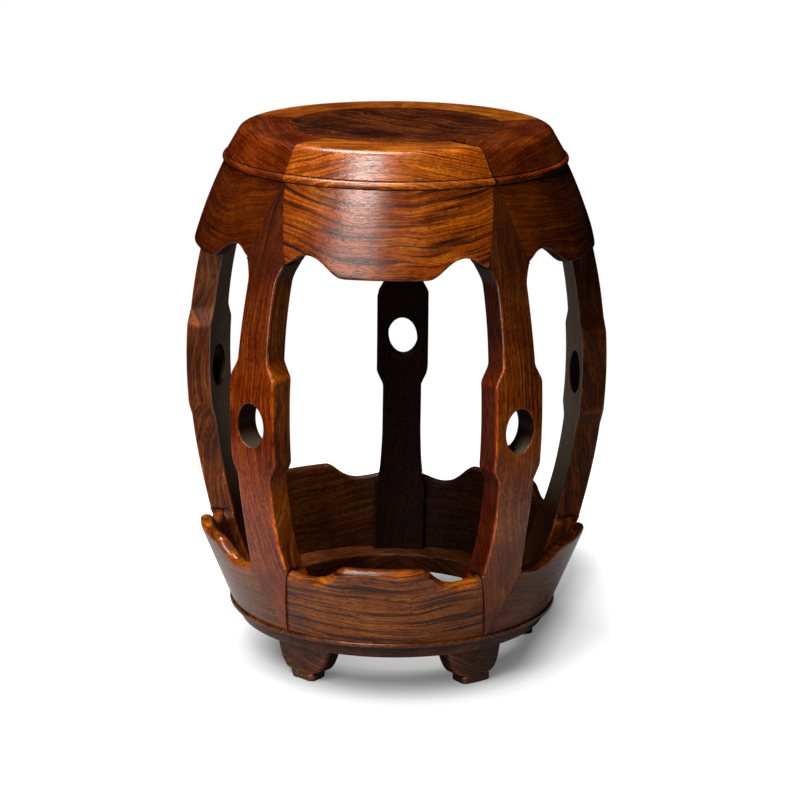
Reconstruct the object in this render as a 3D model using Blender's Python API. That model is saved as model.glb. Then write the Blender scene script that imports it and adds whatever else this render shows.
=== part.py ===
"""A drum stool of polished hardwood: a round seat frame and a base ring, each of arc
segments, held apart by bowed posts, with shaped aprons let in between the post ends.

Metres, +Z up, the floor at z = 0, the front bay towards -Y. The stool's own axis stands
a little in front of the origin, which is the middle of the stool's outer limits.
Azimuths run from the front towards +X. The pieces of a set are numbered that way round.
"""

import math

import bmesh
import bpy
from mathutils import Matrix, Vector

# The set-out round the axis
BAYS = 5
BAY = math.tau / BAYS
FIT = 0.0003
OVERRUN = 0.004
STEPS_PER_BAY = 10
ARC_STEPS = 5

# The barrel: the surface that the posts and the upper aprons follow
BELLY_RADIUS = 0.1937
BELLY_HEIGHT_SHARE = 0.514
HEAD_INSET = 0.0018
BASE_INSET = 0.0003

# Seat frame
SEAT_TOP_Z = 0.475
SEAT_FRAME_THICKNESS = 0.0305
SEAT_FRAME_WIDTH = 0.0540
SEAT_REBATE = 0.0024
SHOULDER_ROUNDING = 0.009
SHOULDER_TILT = math.radians(60)
BEAD_ROUNDING = 0.0033
BEAD_RADIUS = 0.1478
BEAD_COVE = 0.0020

# Seat panel and the batten under it
PANEL_THICKNESS = 0.016
PANEL_TONGUE_LENGTH = 0.0072
PANEL_TONGUE_THICKNESS = 0.006
BATTEN_WIDTH = 0.030
BATTEN_HEIGHT = 0.012
BATTEN_TENON_WIDTH = 0.020
BATTEN_TENON_HEIGHT = 0.007
BATTEN_TENON_LENGTH = 0.008

# Base ring
RING_TOP_Z = 0.0485
RING_THICKNESS = 0.0155
RING_WIDTH = 0.0325
RING_BASE_RADIUS = 0.1375
RING_NECK_OUTSET = 0.0045
RING_LIP_OUTSET = 0.0095
RING_LIP_THICKNESS = 0.0044
RING_LIP_ROUNDING = 0.0016
RING_INNER_ROUNDING = 0.0025

# Posts
POST_THICKNESS = 0.0234
POST_WAIST_WIDTH = 0.0480
POST_UPPER_NECK_WIDTH = 0.0306
POST_UPPER_NECK_BASE_WIDTH = 0.0334
POST_LOWER_NECK_WIDTH = 0.0358
POST_LOWER_NECK_BASE_WIDTH = 0.0378
POST_BLOCK_WIDTH = 0.0476
POST_ARRIS = 0.0012
UPPER_STEP_ABOVE_BELLY = 0.039
UPPER_STEP_RISE = 0.022
LOWER_STEP_BELOW_BELLY = 0.048
LOWER_STEP_RISE = 0.024
FLARE_RISE = 0.018
SHOULDER_DROP = 0.005
POST_TENON_WIDTH = 0.030
POST_TENON_SHOULDER = 0.0007
HEAD_TENON_HEIGHT = 0.012
BASE_TENON_HEIGHT = 0.007
TENON_ROOT = 0.0005
POST_LEVEL_SPACING = 0.016

# Hand hole through each post
HOLE_WIDTH = 0.028
HOLE_HEIGHT = 0.0385
HOLE_BELOW_BELLY = 0.009
HOLE_STEPS = 28

# Mitres between the posts and the aprons
CORNER_HALF_ANGLE = math.radians(6.95)
UPPER_APEX_HALF_ANGLE = math.radians(0.5)
LOWER_APEX_HALF_ANGLE = math.radians(0.3)

# Upper aprons: how far the lower edge hangs below the seat frame
APRON_THICKNESS = 0.012
APRON_EDGE_ROUNDING = 0.0022
APRON_ROWS = 3
UPPER_PLATEAU_DROP = 0.071
UPPER_ARCH_DROP = 0.0545

# Lower aprons: how far the upper edge stands above the ring, and the faces' lean
LOWER_PLATEAU_RISE = 0.074
LOWER_ARCH_RISE = 0.0585
LOWER_FACE_INSET = 0.0018
LOWER_FACE_SLOPE_SHARE = 0.41

# The scalloped edges: (share of the half length, share of the way from arch to plateau)
UPPER_EDGE_SHARES = (
    (0.0, 1.0), (0.38, 1.0), (0.44, 0.97), (0.50, 0.82), (0.56, 0.55), (0.62, 0.28),
    (0.68, 0.09), (0.76, 0.0), (0.84, 0.10), (0.92, 0.33), (1.0, 0.545),
)
LOWER_EDGE_SHARES = (
    (0.0, 1.0), (0.40, 1.0), (0.46, 0.86), (0.52, 0.53), (0.58, 0.24), (0.65, 0.05),
    (0.73, 0.0), (0.82, 0.06), (0.91, 0.19), (1.0, 0.324),
)

# Loose keys across the segment joints
KEY_LENGTH = 0.028
SEAT_KEY_WIDTH = 0.009
SEAT_KEY_HEIGHT = 0.008
SEAT_KEY_COVER = 0.0035
RING_KEY_WIDTH = 0.008
RING_KEY_HEIGHT = 0.007
RING_KEY_COVER = 0.0045

# Feet
FOOT_WIDTH = 0.061
FOOT_TOE_WIDTH = 0.030
FOOT_TOE_HEIGHT = 0.0070
FOOT_TOE_NOTCH = 0.0014
FOOT_INNER_INSET = 0.0230
FOOT_TOP_INSET = 0.0075
FOOT_TOE_INSET = 0.0055
FOOT_TENON_WIDTH = 0.024
FOOT_TENON_THICKNESS = 0.009
FOOT_TENON_HEIGHT = 0.0055
FOOT_TENON_INSET = 0.0130

# The foot's side: (share of the way in to the toe, share of the way up from the toe)
FOOT_SIDE_SHARES = (
    (0.0, 1.0), (0.08, 0.80), (0.21, 0.52), (0.40, 0.25), (0.66, 0.07), (1.0, 0.0),
)

# Colours (linear), roughness
FRAME_WOOD = ((0.30, 0.105, 0.030, 1.0), 0.25)
PANEL_WOOD = ((0.075, 0.022, 0.010, 1.0), 0.22)
APRON_WOOD = ((0.19, 0.055, 0.017, 1.0), 0.28)
POST_WOOD = ((0.17, 0.050, 0.016, 1.0), 0.28)
RING_WOOD = ((0.16, 0.055, 0.022, 1.0), 0.32)
FOOT_WOOD = ((0.085, 0.032, 0.016, 1.0), 0.45)
HIDDEN_WOOD = ((0.12, 0.045, 0.020, 1.0), 0.60)

# Levels and radii that follow from the sizes
SEAT_UNDERSIDE_Z = SEAT_TOP_Z - SEAT_FRAME_THICKNESS
SEAT_HOLE_RADIUS = BEAD_RADIUS - SEAT_FRAME_WIDTH
SEAT_INNER_RADIUS = SEAT_HOLE_RADIUS + SEAT_REBATE
RING_BOTTOM_Z = RING_TOP_Z - RING_THICKNESS
RING_INNER_RADIUS = RING_BASE_RADIUS - RING_WIDTH
RING_LIP_RADIUS = RING_BASE_RADIUS + RING_LIP_OUTSET
POST_TOP_Z = SEAT_UNDERSIDE_Z - FIT
POST_BOTTOM_Z = RING_TOP_Z + FIT
POST_TOP_RADIUS = BEAD_RADIUS + BEAD_ROUNDING - HEAD_INSET
POST_BOTTOM_RADIUS = RING_LIP_RADIUS - BASE_INSET


def blend(a, b, share):
    return a + (b - a) * share


BELLY_Z = blend(POST_BOTTOM_Z, POST_TOP_Z, BELLY_HEIGHT_SHARE)
UPPER_STEP_Z = BELLY_Z + UPPER_STEP_ABOVE_BELLY
LOWER_STEP_Z = BELLY_Z - LOWER_STEP_BELOW_BELLY
HOLE_Z = BELLY_Z - HOLE_BELOW_BELLY


def barrel_radius(z):
    """Radius of the bowed outside surface: two arcs that meet at the belly."""
    if z > BELLY_Z:
        half_height, drop = POST_TOP_Z - BELLY_Z, BELLY_RADIUS - POST_TOP_RADIUS
    else:
        half_height, drop = BELLY_Z - POST_BOTTOM_Z, BELLY_RADIUS - POST_BOTTOM_RADIUS
    bow = (half_height**2 + drop**2) / (2 * drop)
    return BELLY_RADIUS - bow + math.sqrt(bow**2 - (z - BELLY_Z) ** 2)


def lower_face_radius(z):
    """Radius of the cone that the lower aprons' faces follow."""
    return RING_LIP_RADIUS - LOWER_FACE_INSET + LOWER_FACE_SLOPE_SHARE * (z - RING_TOP_Z)


def smooth_through(knots, x):
    """A cubic through the (place, value) knots that never swings past them."""
    if x <= knots[0][0]:
        return knots[0][1]
    if x >= knots[-1][0]:
        return knots[-1][1]
    slopes = [(b[1] - a[1]) / (b[0] - a[0]) for a, b in zip(knots, knots[1:])]
    tangents = [0.0]
    for before, after in zip(slopes, slopes[1:]):
        level = before * after <= 0.0
        tangents.append(0.0 if level else 2.0 * before * after / (before + after))
    tangents.append(slopes[-1])
    i = max(n for n in range(len(slopes)) if knots[n][0] <= x)
    width = knots[i + 1][0] - knots[i][0]
    t = (x - knots[i][0]) / width
    start = knots[i][1] * (1 + 2 * t) * (1 - t) ** 2 + tangents[i] * width * t * (1 - t) ** 2
    end = knots[i + 1][1] * (3 - 2 * t) * t**2 - tangents[i + 1] * width * (1 - t) * t**2
    return start + end


def arc(centre, radius, start, end, steps=ARC_STEPS):
    """(radius, height) points along a round stretch of a profile, angles in radians."""
    return [
        (
            centre[0] + radius * math.cos(blend(start, end, n / steps)),
            centre[1] + radius * math.sin(blend(start, end, n / steps)),
        )
        for n in range(steps + 1)
    ]


def polar(radius, azimuth, z):
    """A point at this radius, turned from the front towards +X."""
    return Vector((radius * math.sin(azimuth), -radius * math.cos(azimuth), z))


def at_side(radius, side, z):
    """A point at this radius whose sideways place is measured straight across."""
    return Vector((side, -math.sqrt(radius**2 - side**2), z))


def loft(sections, twisted_ends=False):
    """A closed mesh through equal loops of points, with both ends capped.

    A twisted end is capped by a strip of faces between the two halves of its loop.
    """
    mesh = bpy.data.meshes.new("loft")
    bm = bmesh.new()
    loops = [[bm.verts.new(point) for point in section] for section in sections]
    for one, two in zip(loops, loops[1:]):
        for n in range(len(one)):
            following = (n + 1) % len(one)
            bm.faces.new((one[n], one[following], two[following], two[n]))
    for end in (loops[0], loops[-1]):
        if twisted_ends:
            for n in range(len(end) // 2 - 1):
                bm.faces.new((end[n], end[n + 1], end[-n - 2], end[-n - 1]))
        else:
            bm.faces.new(end)
    bmesh.ops.recalc_face_normals(bm, faces=bm.faces)
    bm.to_mesh(mesh)
    bm.free()
    return mesh


def turned(profile, azimuths):
    """A profile of (radius, height) points carried round to each azimuth."""
    return loft([[polar(r, azimuth, z) for r, z in profile] for azimuth in azimuths])


def block(size, centre):
    """A box of this (across, radial, high) size, centred in front of the axis."""
    mesh = bpy.data.meshes.new("block")
    bm = bmesh.new()
    bmesh.ops.create_cube(bm, size=1.0, matrix=Matrix.LocRotScale(centre, None, size))
    bm.to_mesh(mesh)
    bm.free()
    return mesh


def shaped(mesh, cuts=(), additions=()):
    """The mesh with others cut from it or joined to it, given as (mesh, azimuth)."""
    body = bpy.data.objects.new("body", mesh)
    tools = []
    changes = [("UNION", *item) for item in additions]
    changes += [("DIFFERENCE", *item) for item in cuts]
    for operation, other, azimuth in changes:
        tool = bpy.data.objects.new("tool", other)
        tool.rotation_euler.z = azimuth
        tools.append(tool)
        modifier = body.modifiers.new(operation, "BOOLEAN")
        modifier.operation = operation
        modifier.object = tool
    for item in (body, *tools):
        bpy.context.scene.collection.objects.link(item)
    graph = bpy.context.evaluated_depsgraph_get()
    result = bpy.data.meshes.new_from_object(body.evaluated_get(graph))
    for item in (body, *tools):
        bpy.data.objects.remove(item)
    return result


def wood(name, look):
    """A polished wood, from its colour and roughness."""
    colour, roughness = look
    material = bpy.data.materials.new(name)
    material.use_nodes = True
    material.diffuse_color = colour
    surface = material.node_tree.nodes["Principled BSDF"]
    surface.inputs["Base Color"].default_value = colour
    surface.inputs["Roughness"].default_value = roughness
    surface.inputs["Metallic"].default_value = 0.0
    return material


def placed(name, mesh, material, stool, azimuth=0.0):
    """One named piece of the stool, turned to its azimuth."""
    mesh.materials.clear()
    mesh.materials.append(material)
    mesh.shade_smooth()
    mesh.set_sharp_from_angle(angle=math.radians(30))
    piece = bpy.data.objects.new(name, mesh)
    piece.rotation_euler.z = azimuth
    piece.parent = stool
    bpy.context.scene.collection.objects.link(piece)
    return piece


def placed_set(name, mesh, material, stool, first_azimuth=0.0):
    """The pieces of a set, one to each bay."""
    for n in range(BAYS):
        placed(f"{name}_{n + 1}", mesh, material, stool, first_azimuth + n * BAY)


def bay_azimuths(play):
    """The azimuths of one segment's facets, ending this far short of its joints."""
    whole = [blend(-BAY / 2, BAY / 2, n / STEPS_PER_BAY) for n in range(STEPS_PER_BAY + 1)]
    return [whole[0] + play, *whole[1:-1], whole[-1] - play]


# Seat frame, panel and batten


def panel_tongue_z():
    """Heights of the panel's tongue, under and over."""
    bottom = SEAT_TOP_Z - PANEL_THICKNESS
    return bottom, bottom + PANEL_TONGUE_THICKNESS


def seat_frame_profile():
    """From the panel's groove over the top, down the moulded edge and back under."""
    tongue_bottom, tongue_top = panel_tongue_z()
    groove_radius = SEAT_HOLE_RADIUS + PANEL_TONGUE_LENGTH + FIT
    bead_z = SEAT_UNDERSIDE_Z + BEAD_ROUNDING
    bead = arc((BEAD_RADIUS, bead_z), BEAD_ROUNDING, math.radians(75), math.radians(-90), 2 * ARC_STEPS)
    cove_z = bead_z + BEAD_ROUNDING + BEAD_COVE
    end_angle = math.pi / 2 - SHOULDER_TILT
    shoulder_z = SEAT_TOP_Z - SHOULDER_ROUNDING
    slope_rise = shoulder_z + SHOULDER_ROUNDING * math.sin(end_angle) - cove_z
    slope_run = slope_rise / math.tan(SHOULDER_TILT)
    shoulder_radius = BEAD_RADIUS - slope_run - SHOULDER_ROUNDING * math.cos(end_angle)
    shoulder = arc((shoulder_radius, shoulder_z), SHOULDER_ROUNDING, math.pi / 2, end_angle)
    return [
        (SEAT_INNER_RADIUS, SEAT_UNDERSIDE_Z),
        (SEAT_INNER_RADIUS, tongue_bottom - FIT),
        (groove_radius, tongue_bottom - FIT),
        (groove_radius, tongue_top + FIT),
        (SEAT_HOLE_RADIUS, tongue_top + FIT),
        (SEAT_HOLE_RADIUS, SEAT_TOP_Z),
        *shoulder,
        (BEAD_RADIUS, cove_z),
        *bead,
    ]


def seat_panel():
    """The round board that lies flush in the frame, tongued round its edge."""
    tongue_bottom, tongue_top = panel_tongue_z()
    edge = SEAT_HOLE_RADIUS - FIT
    tongue_edge = SEAT_HOLE_RADIUS + PANEL_TONGUE_LENGTH
    steps = BAYS * STEPS_PER_BAY
    azimuths = [BAY / 2 + math.tau * n / steps for n in range(steps)]
    rows = ((tongue_edge, tongue_bottom), (tongue_edge, tongue_top), (edge, tongue_top), (edge, SEAT_TOP_Z))
    return loft([[polar(r, azimuth, z) for azimuth in azimuths] for r, z in rows])


def batten_top_z():
    return SEAT_TOP_Z - PANEL_THICKNESS - FIT


def batten(play):
    """The cross batten under the panel, with a tenon at each end."""
    inner = SEAT_INNER_RADIUS * math.cos(BAY / STEPS_PER_BAY / 2)
    half_length = math.sqrt(inner**2 - (BATTEN_WIDTH / 2) ** 2) - FIT
    middle_z = batten_top_z() - BATTEN_HEIGHT / 2
    body = block((2 * half_length, BATTEN_WIDTH, BATTEN_HEIGHT), (0, 0, middle_z))
    tenon_size = (
        2 * (half_length + BATTEN_TENON_LENGTH + play),
        BATTEN_TENON_WIDTH + 2 * play,
        BATTEN_TENON_HEIGHT + 2 * play,
    )
    tenons = block(tenon_size, (0, 0, middle_z))
    return shaped(body, additions=[(tenons, 0)])


def key(width, height, radius, z, play):
    """A loose key that crosses a joint in front of the axis."""
    size = (KEY_LENGTH + 2 * play, width + 2 * play, height + 2 * play)
    return block(size, (0, -radius, z))


def seat_key(play):
    """It lies midway between the frame's inner face and the post's tenon."""
    middle_z = SEAT_UNDERSIDE_Z + SEAT_KEY_COVER + SEAT_KEY_HEIGHT / 2
    tenon_radius, tenon_thickness = post_tenon_place(barrel_radius, POST_TOP_Z)
    radius = (SEAT_INNER_RADIUS + tenon_radius - tenon_thickness / 2) / 2
    return key(SEAT_KEY_WIDTH, SEAT_KEY_HEIGHT, radius, middle_z, play)


def ring_key(play):
    middle_z = RING_BOTTOM_Z + RING_THICKNESS / 2
    radius = RING_INNER_RADIUS + RING_KEY_COVER + RING_KEY_WIDTH / 2
    return key(RING_KEY_WIDTH, RING_KEY_HEIGHT, radius, middle_z, play)


def both_ends(mesh):
    """A cutter at both of a segment's joints."""
    return [(mesh, -BAY / 2), (mesh, BAY / 2)]


def seat_frame_segment():
    body = turned(seat_frame_profile(), bay_azimuths(FIT / 2 / SEAT_HOLE_RADIUS))
    return shaped(body, both_ends(head_tenon(FIT)) + both_ends(seat_key(FIT)))


# Base ring


def ring_profile():
    """Up the inside, over the top, round the lip and down the sloping face."""
    inner = arc(
        (RING_INNER_RADIUS + RING_INNER_ROUNDING, RING_TOP_Z - RING_INNER_ROUNDING),
        RING_INNER_ROUNDING,
        math.pi,
        math.pi / 2,
        2,
    )
    lip_radius = RING_LIP_RADIUS - RING_LIP_ROUNDING
    lip_top = arc((lip_radius, RING_TOP_Z - RING_LIP_ROUNDING), RING_LIP_ROUNDING, math.pi / 2, 0, 3)
    lip_bottom_z = RING_TOP_Z - RING_LIP_THICKNESS
    lip_under = arc((lip_radius, lip_bottom_z + RING_LIP_ROUNDING), RING_LIP_ROUNDING, 0, -math.pi / 2, 3)
    return [
        (RING_INNER_RADIUS, RING_BOTTOM_Z),
        *inner,
        *lip_top,
        *lip_under,
        (RING_BASE_RADIUS + RING_NECK_OUTSET, lip_bottom_z),
        (RING_BASE_RADIUS, RING_BOTTOM_Z),
    ]


def ring_segment():
    body = turned(ring_profile(), bay_azimuths(FIT / 2 / RING_BASE_RADIUS))
    cuts = both_ends(base_tenon(FIT)) + both_ends(foot_tenon(FIT)) + both_ends(ring_key(FIT))
    return shaped(body, cuts)


# Aprons


def upper_edge_z(share):
    drop = blend(UPPER_ARCH_DROP, UPPER_PLATEAU_DROP, smooth_through(UPPER_EDGE_SHARES, abs(share)))
    return SEAT_UNDERSIDE_Z - drop


def lower_edge_z(share):
    rise = blend(LOWER_ARCH_RISE, LOWER_PLATEAU_RISE, smooth_through(LOWER_EDGE_SHARES, abs(share)))
    return RING_TOP_Z + rise


def mitre_angle(z):
    """Half the angle that a post's head or foot takes up between its two aprons."""
    if z > BELLY_Z:
        return mitre_line(z, POST_TOP_Z, UPPER_APEX_HALF_ANGLE, upper_edge_z(1))
    return mitre_line(z, POST_BOTTOM_Z, LOWER_APEX_HALF_ANGLE, lower_edge_z(1))


def mitre_line(z, joint_z, apex, corner_z):
    return blend(apex, CORNER_HALF_ANGLE, (z - joint_z) / (corner_z - joint_z))


def apron_section(share, face_radius, edge_z, joint_z):
    """The apron's upright section at this share of its half length."""
    towards_edge = math.copysign(1, edge_z(0) - joint_z)
    free_z = edge_z(share)
    eased_z = free_z - towards_edge * APRON_EDGE_ROUNDING

    def point(depth, z):
        half_angle = BAY / 2 - mitre_angle(z) - FIT / face_radius(z)
        return polar(face_radius(z) - depth, share * half_angle, z)

    heights = [blend(joint_z, eased_z, n / APRON_ROWS) for n in range(APRON_ROWS + 1)]
    return [
        *(point(0, z) for z in heights),
        point(APRON_EDGE_ROUNDING, free_z),
        point(APRON_THICKNESS - APRON_EDGE_ROUNDING, free_z),
        *(point(APRON_THICKNESS, z) for z in reversed(heights)),
    ]


def apron(knots, face_radius, edge_z, joint_z):
    """An apron from its straight edge at the ring or frame to its scalloped edge."""
    shares = [share for share, _ in knots]
    shares += [blend(a, b, 0.5) for a, b in zip(shares, shares[1:])]
    shares = sorted({-share for share in shares} | set(shares))
    sections = [apron_section(share, face_radius, edge_z, joint_z) for share in shares]
    return loft(sections, twisted_ends=True)


def upper_apron():
    return apron(UPPER_EDGE_SHARES, barrel_radius, upper_edge_z, POST_TOP_Z)


def lower_apron():
    return apron(LOWER_EDGE_SHARES, lower_face_radius, lower_edge_z, POST_BOTTOM_Z)


# Posts


def post_outline():
    """(height, half width) knots from the base ring up to the seat frame."""
    lower_corner = lower_edge_z(1)
    upper_corner = upper_edge_z(1)
    lower_corner_half = barrel_radius(lower_corner) * math.sin(CORNER_HALF_ANGLE)
    upper_corner_half = barrel_radius(upper_corner) * math.sin(CORNER_HALF_ANGLE)
    return [
        (POST_BOTTOM_Z, POST_BLOCK_WIDTH / 2),
        (lower_corner - SHOULDER_DROP, POST_BLOCK_WIDTH / 2),
        (lower_corner, lower_corner_half),
        (lower_corner + FLARE_RISE, POST_LOWER_NECK_BASE_WIDTH / 2),
        (blend(lower_corner, LOWER_STEP_Z, 0.5), POST_LOWER_NECK_WIDTH / 2),
        (LOWER_STEP_Z - LOWER_STEP_RISE / 2, POST_LOWER_NECK_WIDTH / 2),
        (LOWER_STEP_Z, (POST_LOWER_NECK_WIDTH + POST_WAIST_WIDTH) / 4),
        (LOWER_STEP_Z + LOWER_STEP_RISE / 2, POST_WAIST_WIDTH / 2),
        (UPPER_STEP_Z - UPPER_STEP_RISE / 2, POST_WAIST_WIDTH / 2),
        (UPPER_STEP_Z, (POST_UPPER_NECK_BASE_WIDTH + POST_WAIST_WIDTH) / 4),
        (UPPER_STEP_Z + UPPER_STEP_RISE / 2, POST_UPPER_NECK_BASE_WIDTH / 2),
        (upper_corner - FLARE_RISE, POST_UPPER_NECK_WIDTH / 2),
        (upper_corner, upper_corner_half),
        (upper_corner + SHOULDER_DROP, POST_BLOCK_WIDTH / 2),
        (POST_TOP_Z, POST_BLOCK_WIDTH / 2),
    ]


def apron_back_depth(z):
    """How deep the aprons' backs lie behind the posts' faces, with the play at the seat."""
    face_radius = barrel_radius(z) if z > BELLY_Z else lower_face_radius(z)
    return barrel_radius(z) - face_radius + APRON_THICKNESS + FIT


def post_section(z, half):
    """The post's horizontal section.

    In the open, a bowed face with eased arrises. Between aprons, the face narrows to the
    mitres, and the full width stands behind the aprons' backs.
    """
    face = barrel_radius(z)
    back = face - POST_THICKNESS
    if lower_edge_z(1) < z < upper_edge_z(1):
        side = [(half - POST_ARRIS, face), (half, face - POST_ARRIS)]
        side += [(half, blend(face, back, n / 3)) for n in (1, 2)]
    else:
        behind = face - apron_back_depth(z)
        narrow = math.sin(mitre_angle(z))
        side = [(radius * narrow, radius) for radius in (face, face - POST_ARRIS, behind)]
        side.append((half, behind))
    side.append((half, back))
    right = [at_side(radius, across, z) for across, radius in side]
    left = [at_side(radius, -across, z) for across, radius in reversed(side)]
    return [at_side(face, 0, z), *right, at_side(back, 0, z), *left]


def post_levels(knots):
    """Heights of the sections: every knot, and others between them where they are far apart."""
    levels = []
    for (low, _), (high, _) in zip(knots, knots[1:]):
        steps = max(2, math.ceil((high - low) / POST_LEVEL_SPACING))
        levels += [blend(low, high, n / steps) for n in range(steps)]
    within_corners = (lower_edge_z(1) + POST_ARRIS, upper_edge_z(1) - POST_ARRIS)
    return sorted([*levels, *within_corners, knots[-1][0]])


def hand_hole():
    """An oval bar that runs through the post."""
    half_width = HOLE_WIDTH / 2
    half_height = HOLE_HEIGHT / 2
    turns = [math.tau * n / HOLE_STEPS for n in range(HOLE_STEPS)]
    return loft(
        [
            [Vector((half_width * math.cos(t), y, HOLE_Z + half_height * math.sin(t))) for t in turns]
            for y in (-BELLY_RADIUS - OVERRUN, OVERRUN - BELLY_RADIUS + 2 * POST_THICKNESS)
        ]
    )


def tenon(width, thickness, radius, low_z, high_z, play):
    size = (width + 2 * play, thickness + 2 * play, high_z - low_z)
    return block(size, (0, -radius, (low_z + high_z) / 2))


def post_tenon_place(face_radius, joint_z):
    """Radius and thickness of a tenon between the post's back and the aprons' backs."""
    back = barrel_radius(joint_z) - POST_THICKNESS
    apron_back = -at_side(face_radius(joint_z) - APRON_THICKNESS, POST_TENON_WIDTH / 2, joint_z).y
    return (back + apron_back) / 2, apron_back - back - 2 * POST_TENON_SHOULDER


def post_tenon(face_radius, joint_z, low_z, high_z, play):
    radius, thickness = post_tenon_place(face_radius, joint_z)
    return tenon(POST_TENON_WIDTH, thickness, radius, low_z, high_z, play)


def head_tenon(play):
    """The post's upper tenon, or its mortise: it starts inside the post."""
    top = SEAT_UNDERSIDE_Z + HEAD_TENON_HEIGHT + play
    return post_tenon(barrel_radius, POST_TOP_Z, POST_TOP_Z - TENON_ROOT, top, play)


def base_tenon(play):
    """The post's lower tenon, or its mortise."""
    bottom = RING_TOP_Z - BASE_TENON_HEIGHT - play
    return post_tenon(lower_face_radius, POST_BOTTOM_Z, bottom, POST_BOTTOM_Z + TENON_ROOT, play)


def post():
    knots = post_outline()
    levels = post_levels(knots)
    body = loft([post_section(z, smooth_through(knots, z)) for z in levels])
    return shaped(body, [(hand_hole(), 0)], [(head_tenon(0), 0), (base_tenon(0), 0)])


# Feet


def foot_side():
    """(half width, height) down one side of a foot, from its top to the floor."""
    top_z = RING_BOTTOM_Z - FIT
    toe = FOOT_TOE_WIDTH / 2
    waist = toe - FOOT_TOE_NOTCH
    swept = [
        (blend(FOOT_WIDTH / 2, waist, inward), blend(FOOT_TOE_HEIGHT, top_z, upward))
        for inward, upward in FOOT_SIDE_SHARES
    ]
    return [
        *swept,
        (toe, FOOT_TOE_HEIGHT - FOOT_TOE_NOTCH),
        (toe, FOOT_TOE_NOTCH),
        (toe - FOOT_TOE_NOTCH, 0.0),
    ]


def foot_face_radius(z):
    """The foot's face runs outwards a little towards its toe."""
    return RING_BASE_RADIUS - blend(FOOT_TOE_INSET, FOOT_TOP_INSET, z / RING_BOTTOM_Z)


def foot_tenon(play):
    top = RING_BOTTOM_Z + FOOT_TENON_HEIGHT + play
    low = RING_BOTTOM_Z - FIT - TENON_ROOT
    radius = RING_BASE_RADIUS - FOOT_TENON_INSET
    return tenon(FOOT_TENON_WIDTH, FOOT_TENON_THICKNESS, radius, low, top, play)


def foot():
    side = foot_side()
    outline = side + [(-half, z) for half, z in reversed(side)]
    face = [at_side(foot_face_radius(z), half, z) for half, z in outline]
    inner_radius = RING_BASE_RADIUS - FOOT_INNER_INSET
    back = [at_side(inner_radius, half, z) for half, z in outline]
    return shaped(loft([face, back], twisted_ends=True), additions=[(foot_tenon(0), 0)])


# The whole stool


def axis_y():
    """Where the axis stands, so that the outer limits are centred on the origin.

    A post's belly reaches furthest behind, and a lower apron's plateau in front.
    """
    behind = BELLY_RADIUS
    lower = lower_face_radius(lower_edge_z(0) - APRON_EDGE_ROUNDING)
    in_front = max(lower, barrel_radius(upper_edge_z(0) + APRON_EDGE_ROUNDING))
    return (in_front - behind) / 2


def build():
    for item in list(bpy.data.objects):
        bpy.data.objects.remove(item)
    stool = bpy.data.objects.new("stool_axis", None)
    stool.location.y = axis_y()
    bpy.context.scene.collection.objects.link(stool)

    hidden = wood("hidden_hardwood", HIDDEN_WOOD)
    frame_wood = wood("seat_frame_hardwood", FRAME_WOOD)
    apron_wood = wood("apron_hardwood", APRON_WOOD)

    placed("seat_panel", seat_panel(), wood("burl_hardwood", PANEL_WOOD), stool)
    placed("seat_batten", batten(0), hidden, stool)
    segment = seat_frame_segment()
    batten_cut = batten(FIT)
    for n in range(BAYS):
        own = shaped(segment, [(batten_cut, -n * BAY)])
        placed(f"seat_frame_{n + 1}", own, frame_wood, stool, n * BAY)
    placed_set("seat_key", seat_key(0), hidden, stool, BAY / 2)
    placed_set("upper_apron", upper_apron(), apron_wood, stool)
    placed_set("post", post(), wood("post_hardwood", POST_WOOD), stool, BAY / 2)
    placed_set("lower_apron", lower_apron(), apron_wood, stool)
    placed_set("base_ring", ring_segment(), wood("ring_hardwood", RING_WOOD), stool)
    placed_set("ring_key", ring_key(0), hidden, stool, BAY / 2)
    placed_set("foot", foot(), wood("foot_hardwood", FOOT_WOOD), stool, BAY / 2)


build()
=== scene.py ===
"""The drum stool as its photograph shows it: an old stool of polished hardwood on white.

Metres, +Z up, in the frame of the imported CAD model. The shown pieces are finer versions of
the CAD pieces, built in front of the stool's axis from the same sizes and turned to their
bays. Azimuths run from the front towards +X.
"""

import math

import bmesh
import bpy
from mathutils import Matrix, Vector, noise


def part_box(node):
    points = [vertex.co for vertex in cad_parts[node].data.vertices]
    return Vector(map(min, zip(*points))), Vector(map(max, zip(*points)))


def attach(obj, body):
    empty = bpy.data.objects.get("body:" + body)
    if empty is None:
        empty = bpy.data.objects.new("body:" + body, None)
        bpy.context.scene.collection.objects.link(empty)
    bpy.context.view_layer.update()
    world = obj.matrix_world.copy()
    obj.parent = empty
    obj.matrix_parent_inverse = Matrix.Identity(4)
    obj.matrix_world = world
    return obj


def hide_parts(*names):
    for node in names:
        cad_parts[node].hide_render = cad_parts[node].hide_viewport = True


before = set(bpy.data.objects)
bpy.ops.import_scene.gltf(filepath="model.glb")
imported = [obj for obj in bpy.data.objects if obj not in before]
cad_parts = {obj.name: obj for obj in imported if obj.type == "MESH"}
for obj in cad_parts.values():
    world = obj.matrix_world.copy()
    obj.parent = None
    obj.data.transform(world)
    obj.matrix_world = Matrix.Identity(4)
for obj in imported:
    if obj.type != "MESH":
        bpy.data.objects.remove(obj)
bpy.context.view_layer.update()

# The set-out round the axis, as in the CAD model
BAYS = 5
BAY = math.tau / BAYS
HAIR = 0.00012
BELLY_RADIUS = 0.1937
BELLY_HEIGHT_SHARE = 0.514
HEAD_INSET = 0.0018
BASE_INSET = 0.0003

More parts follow.
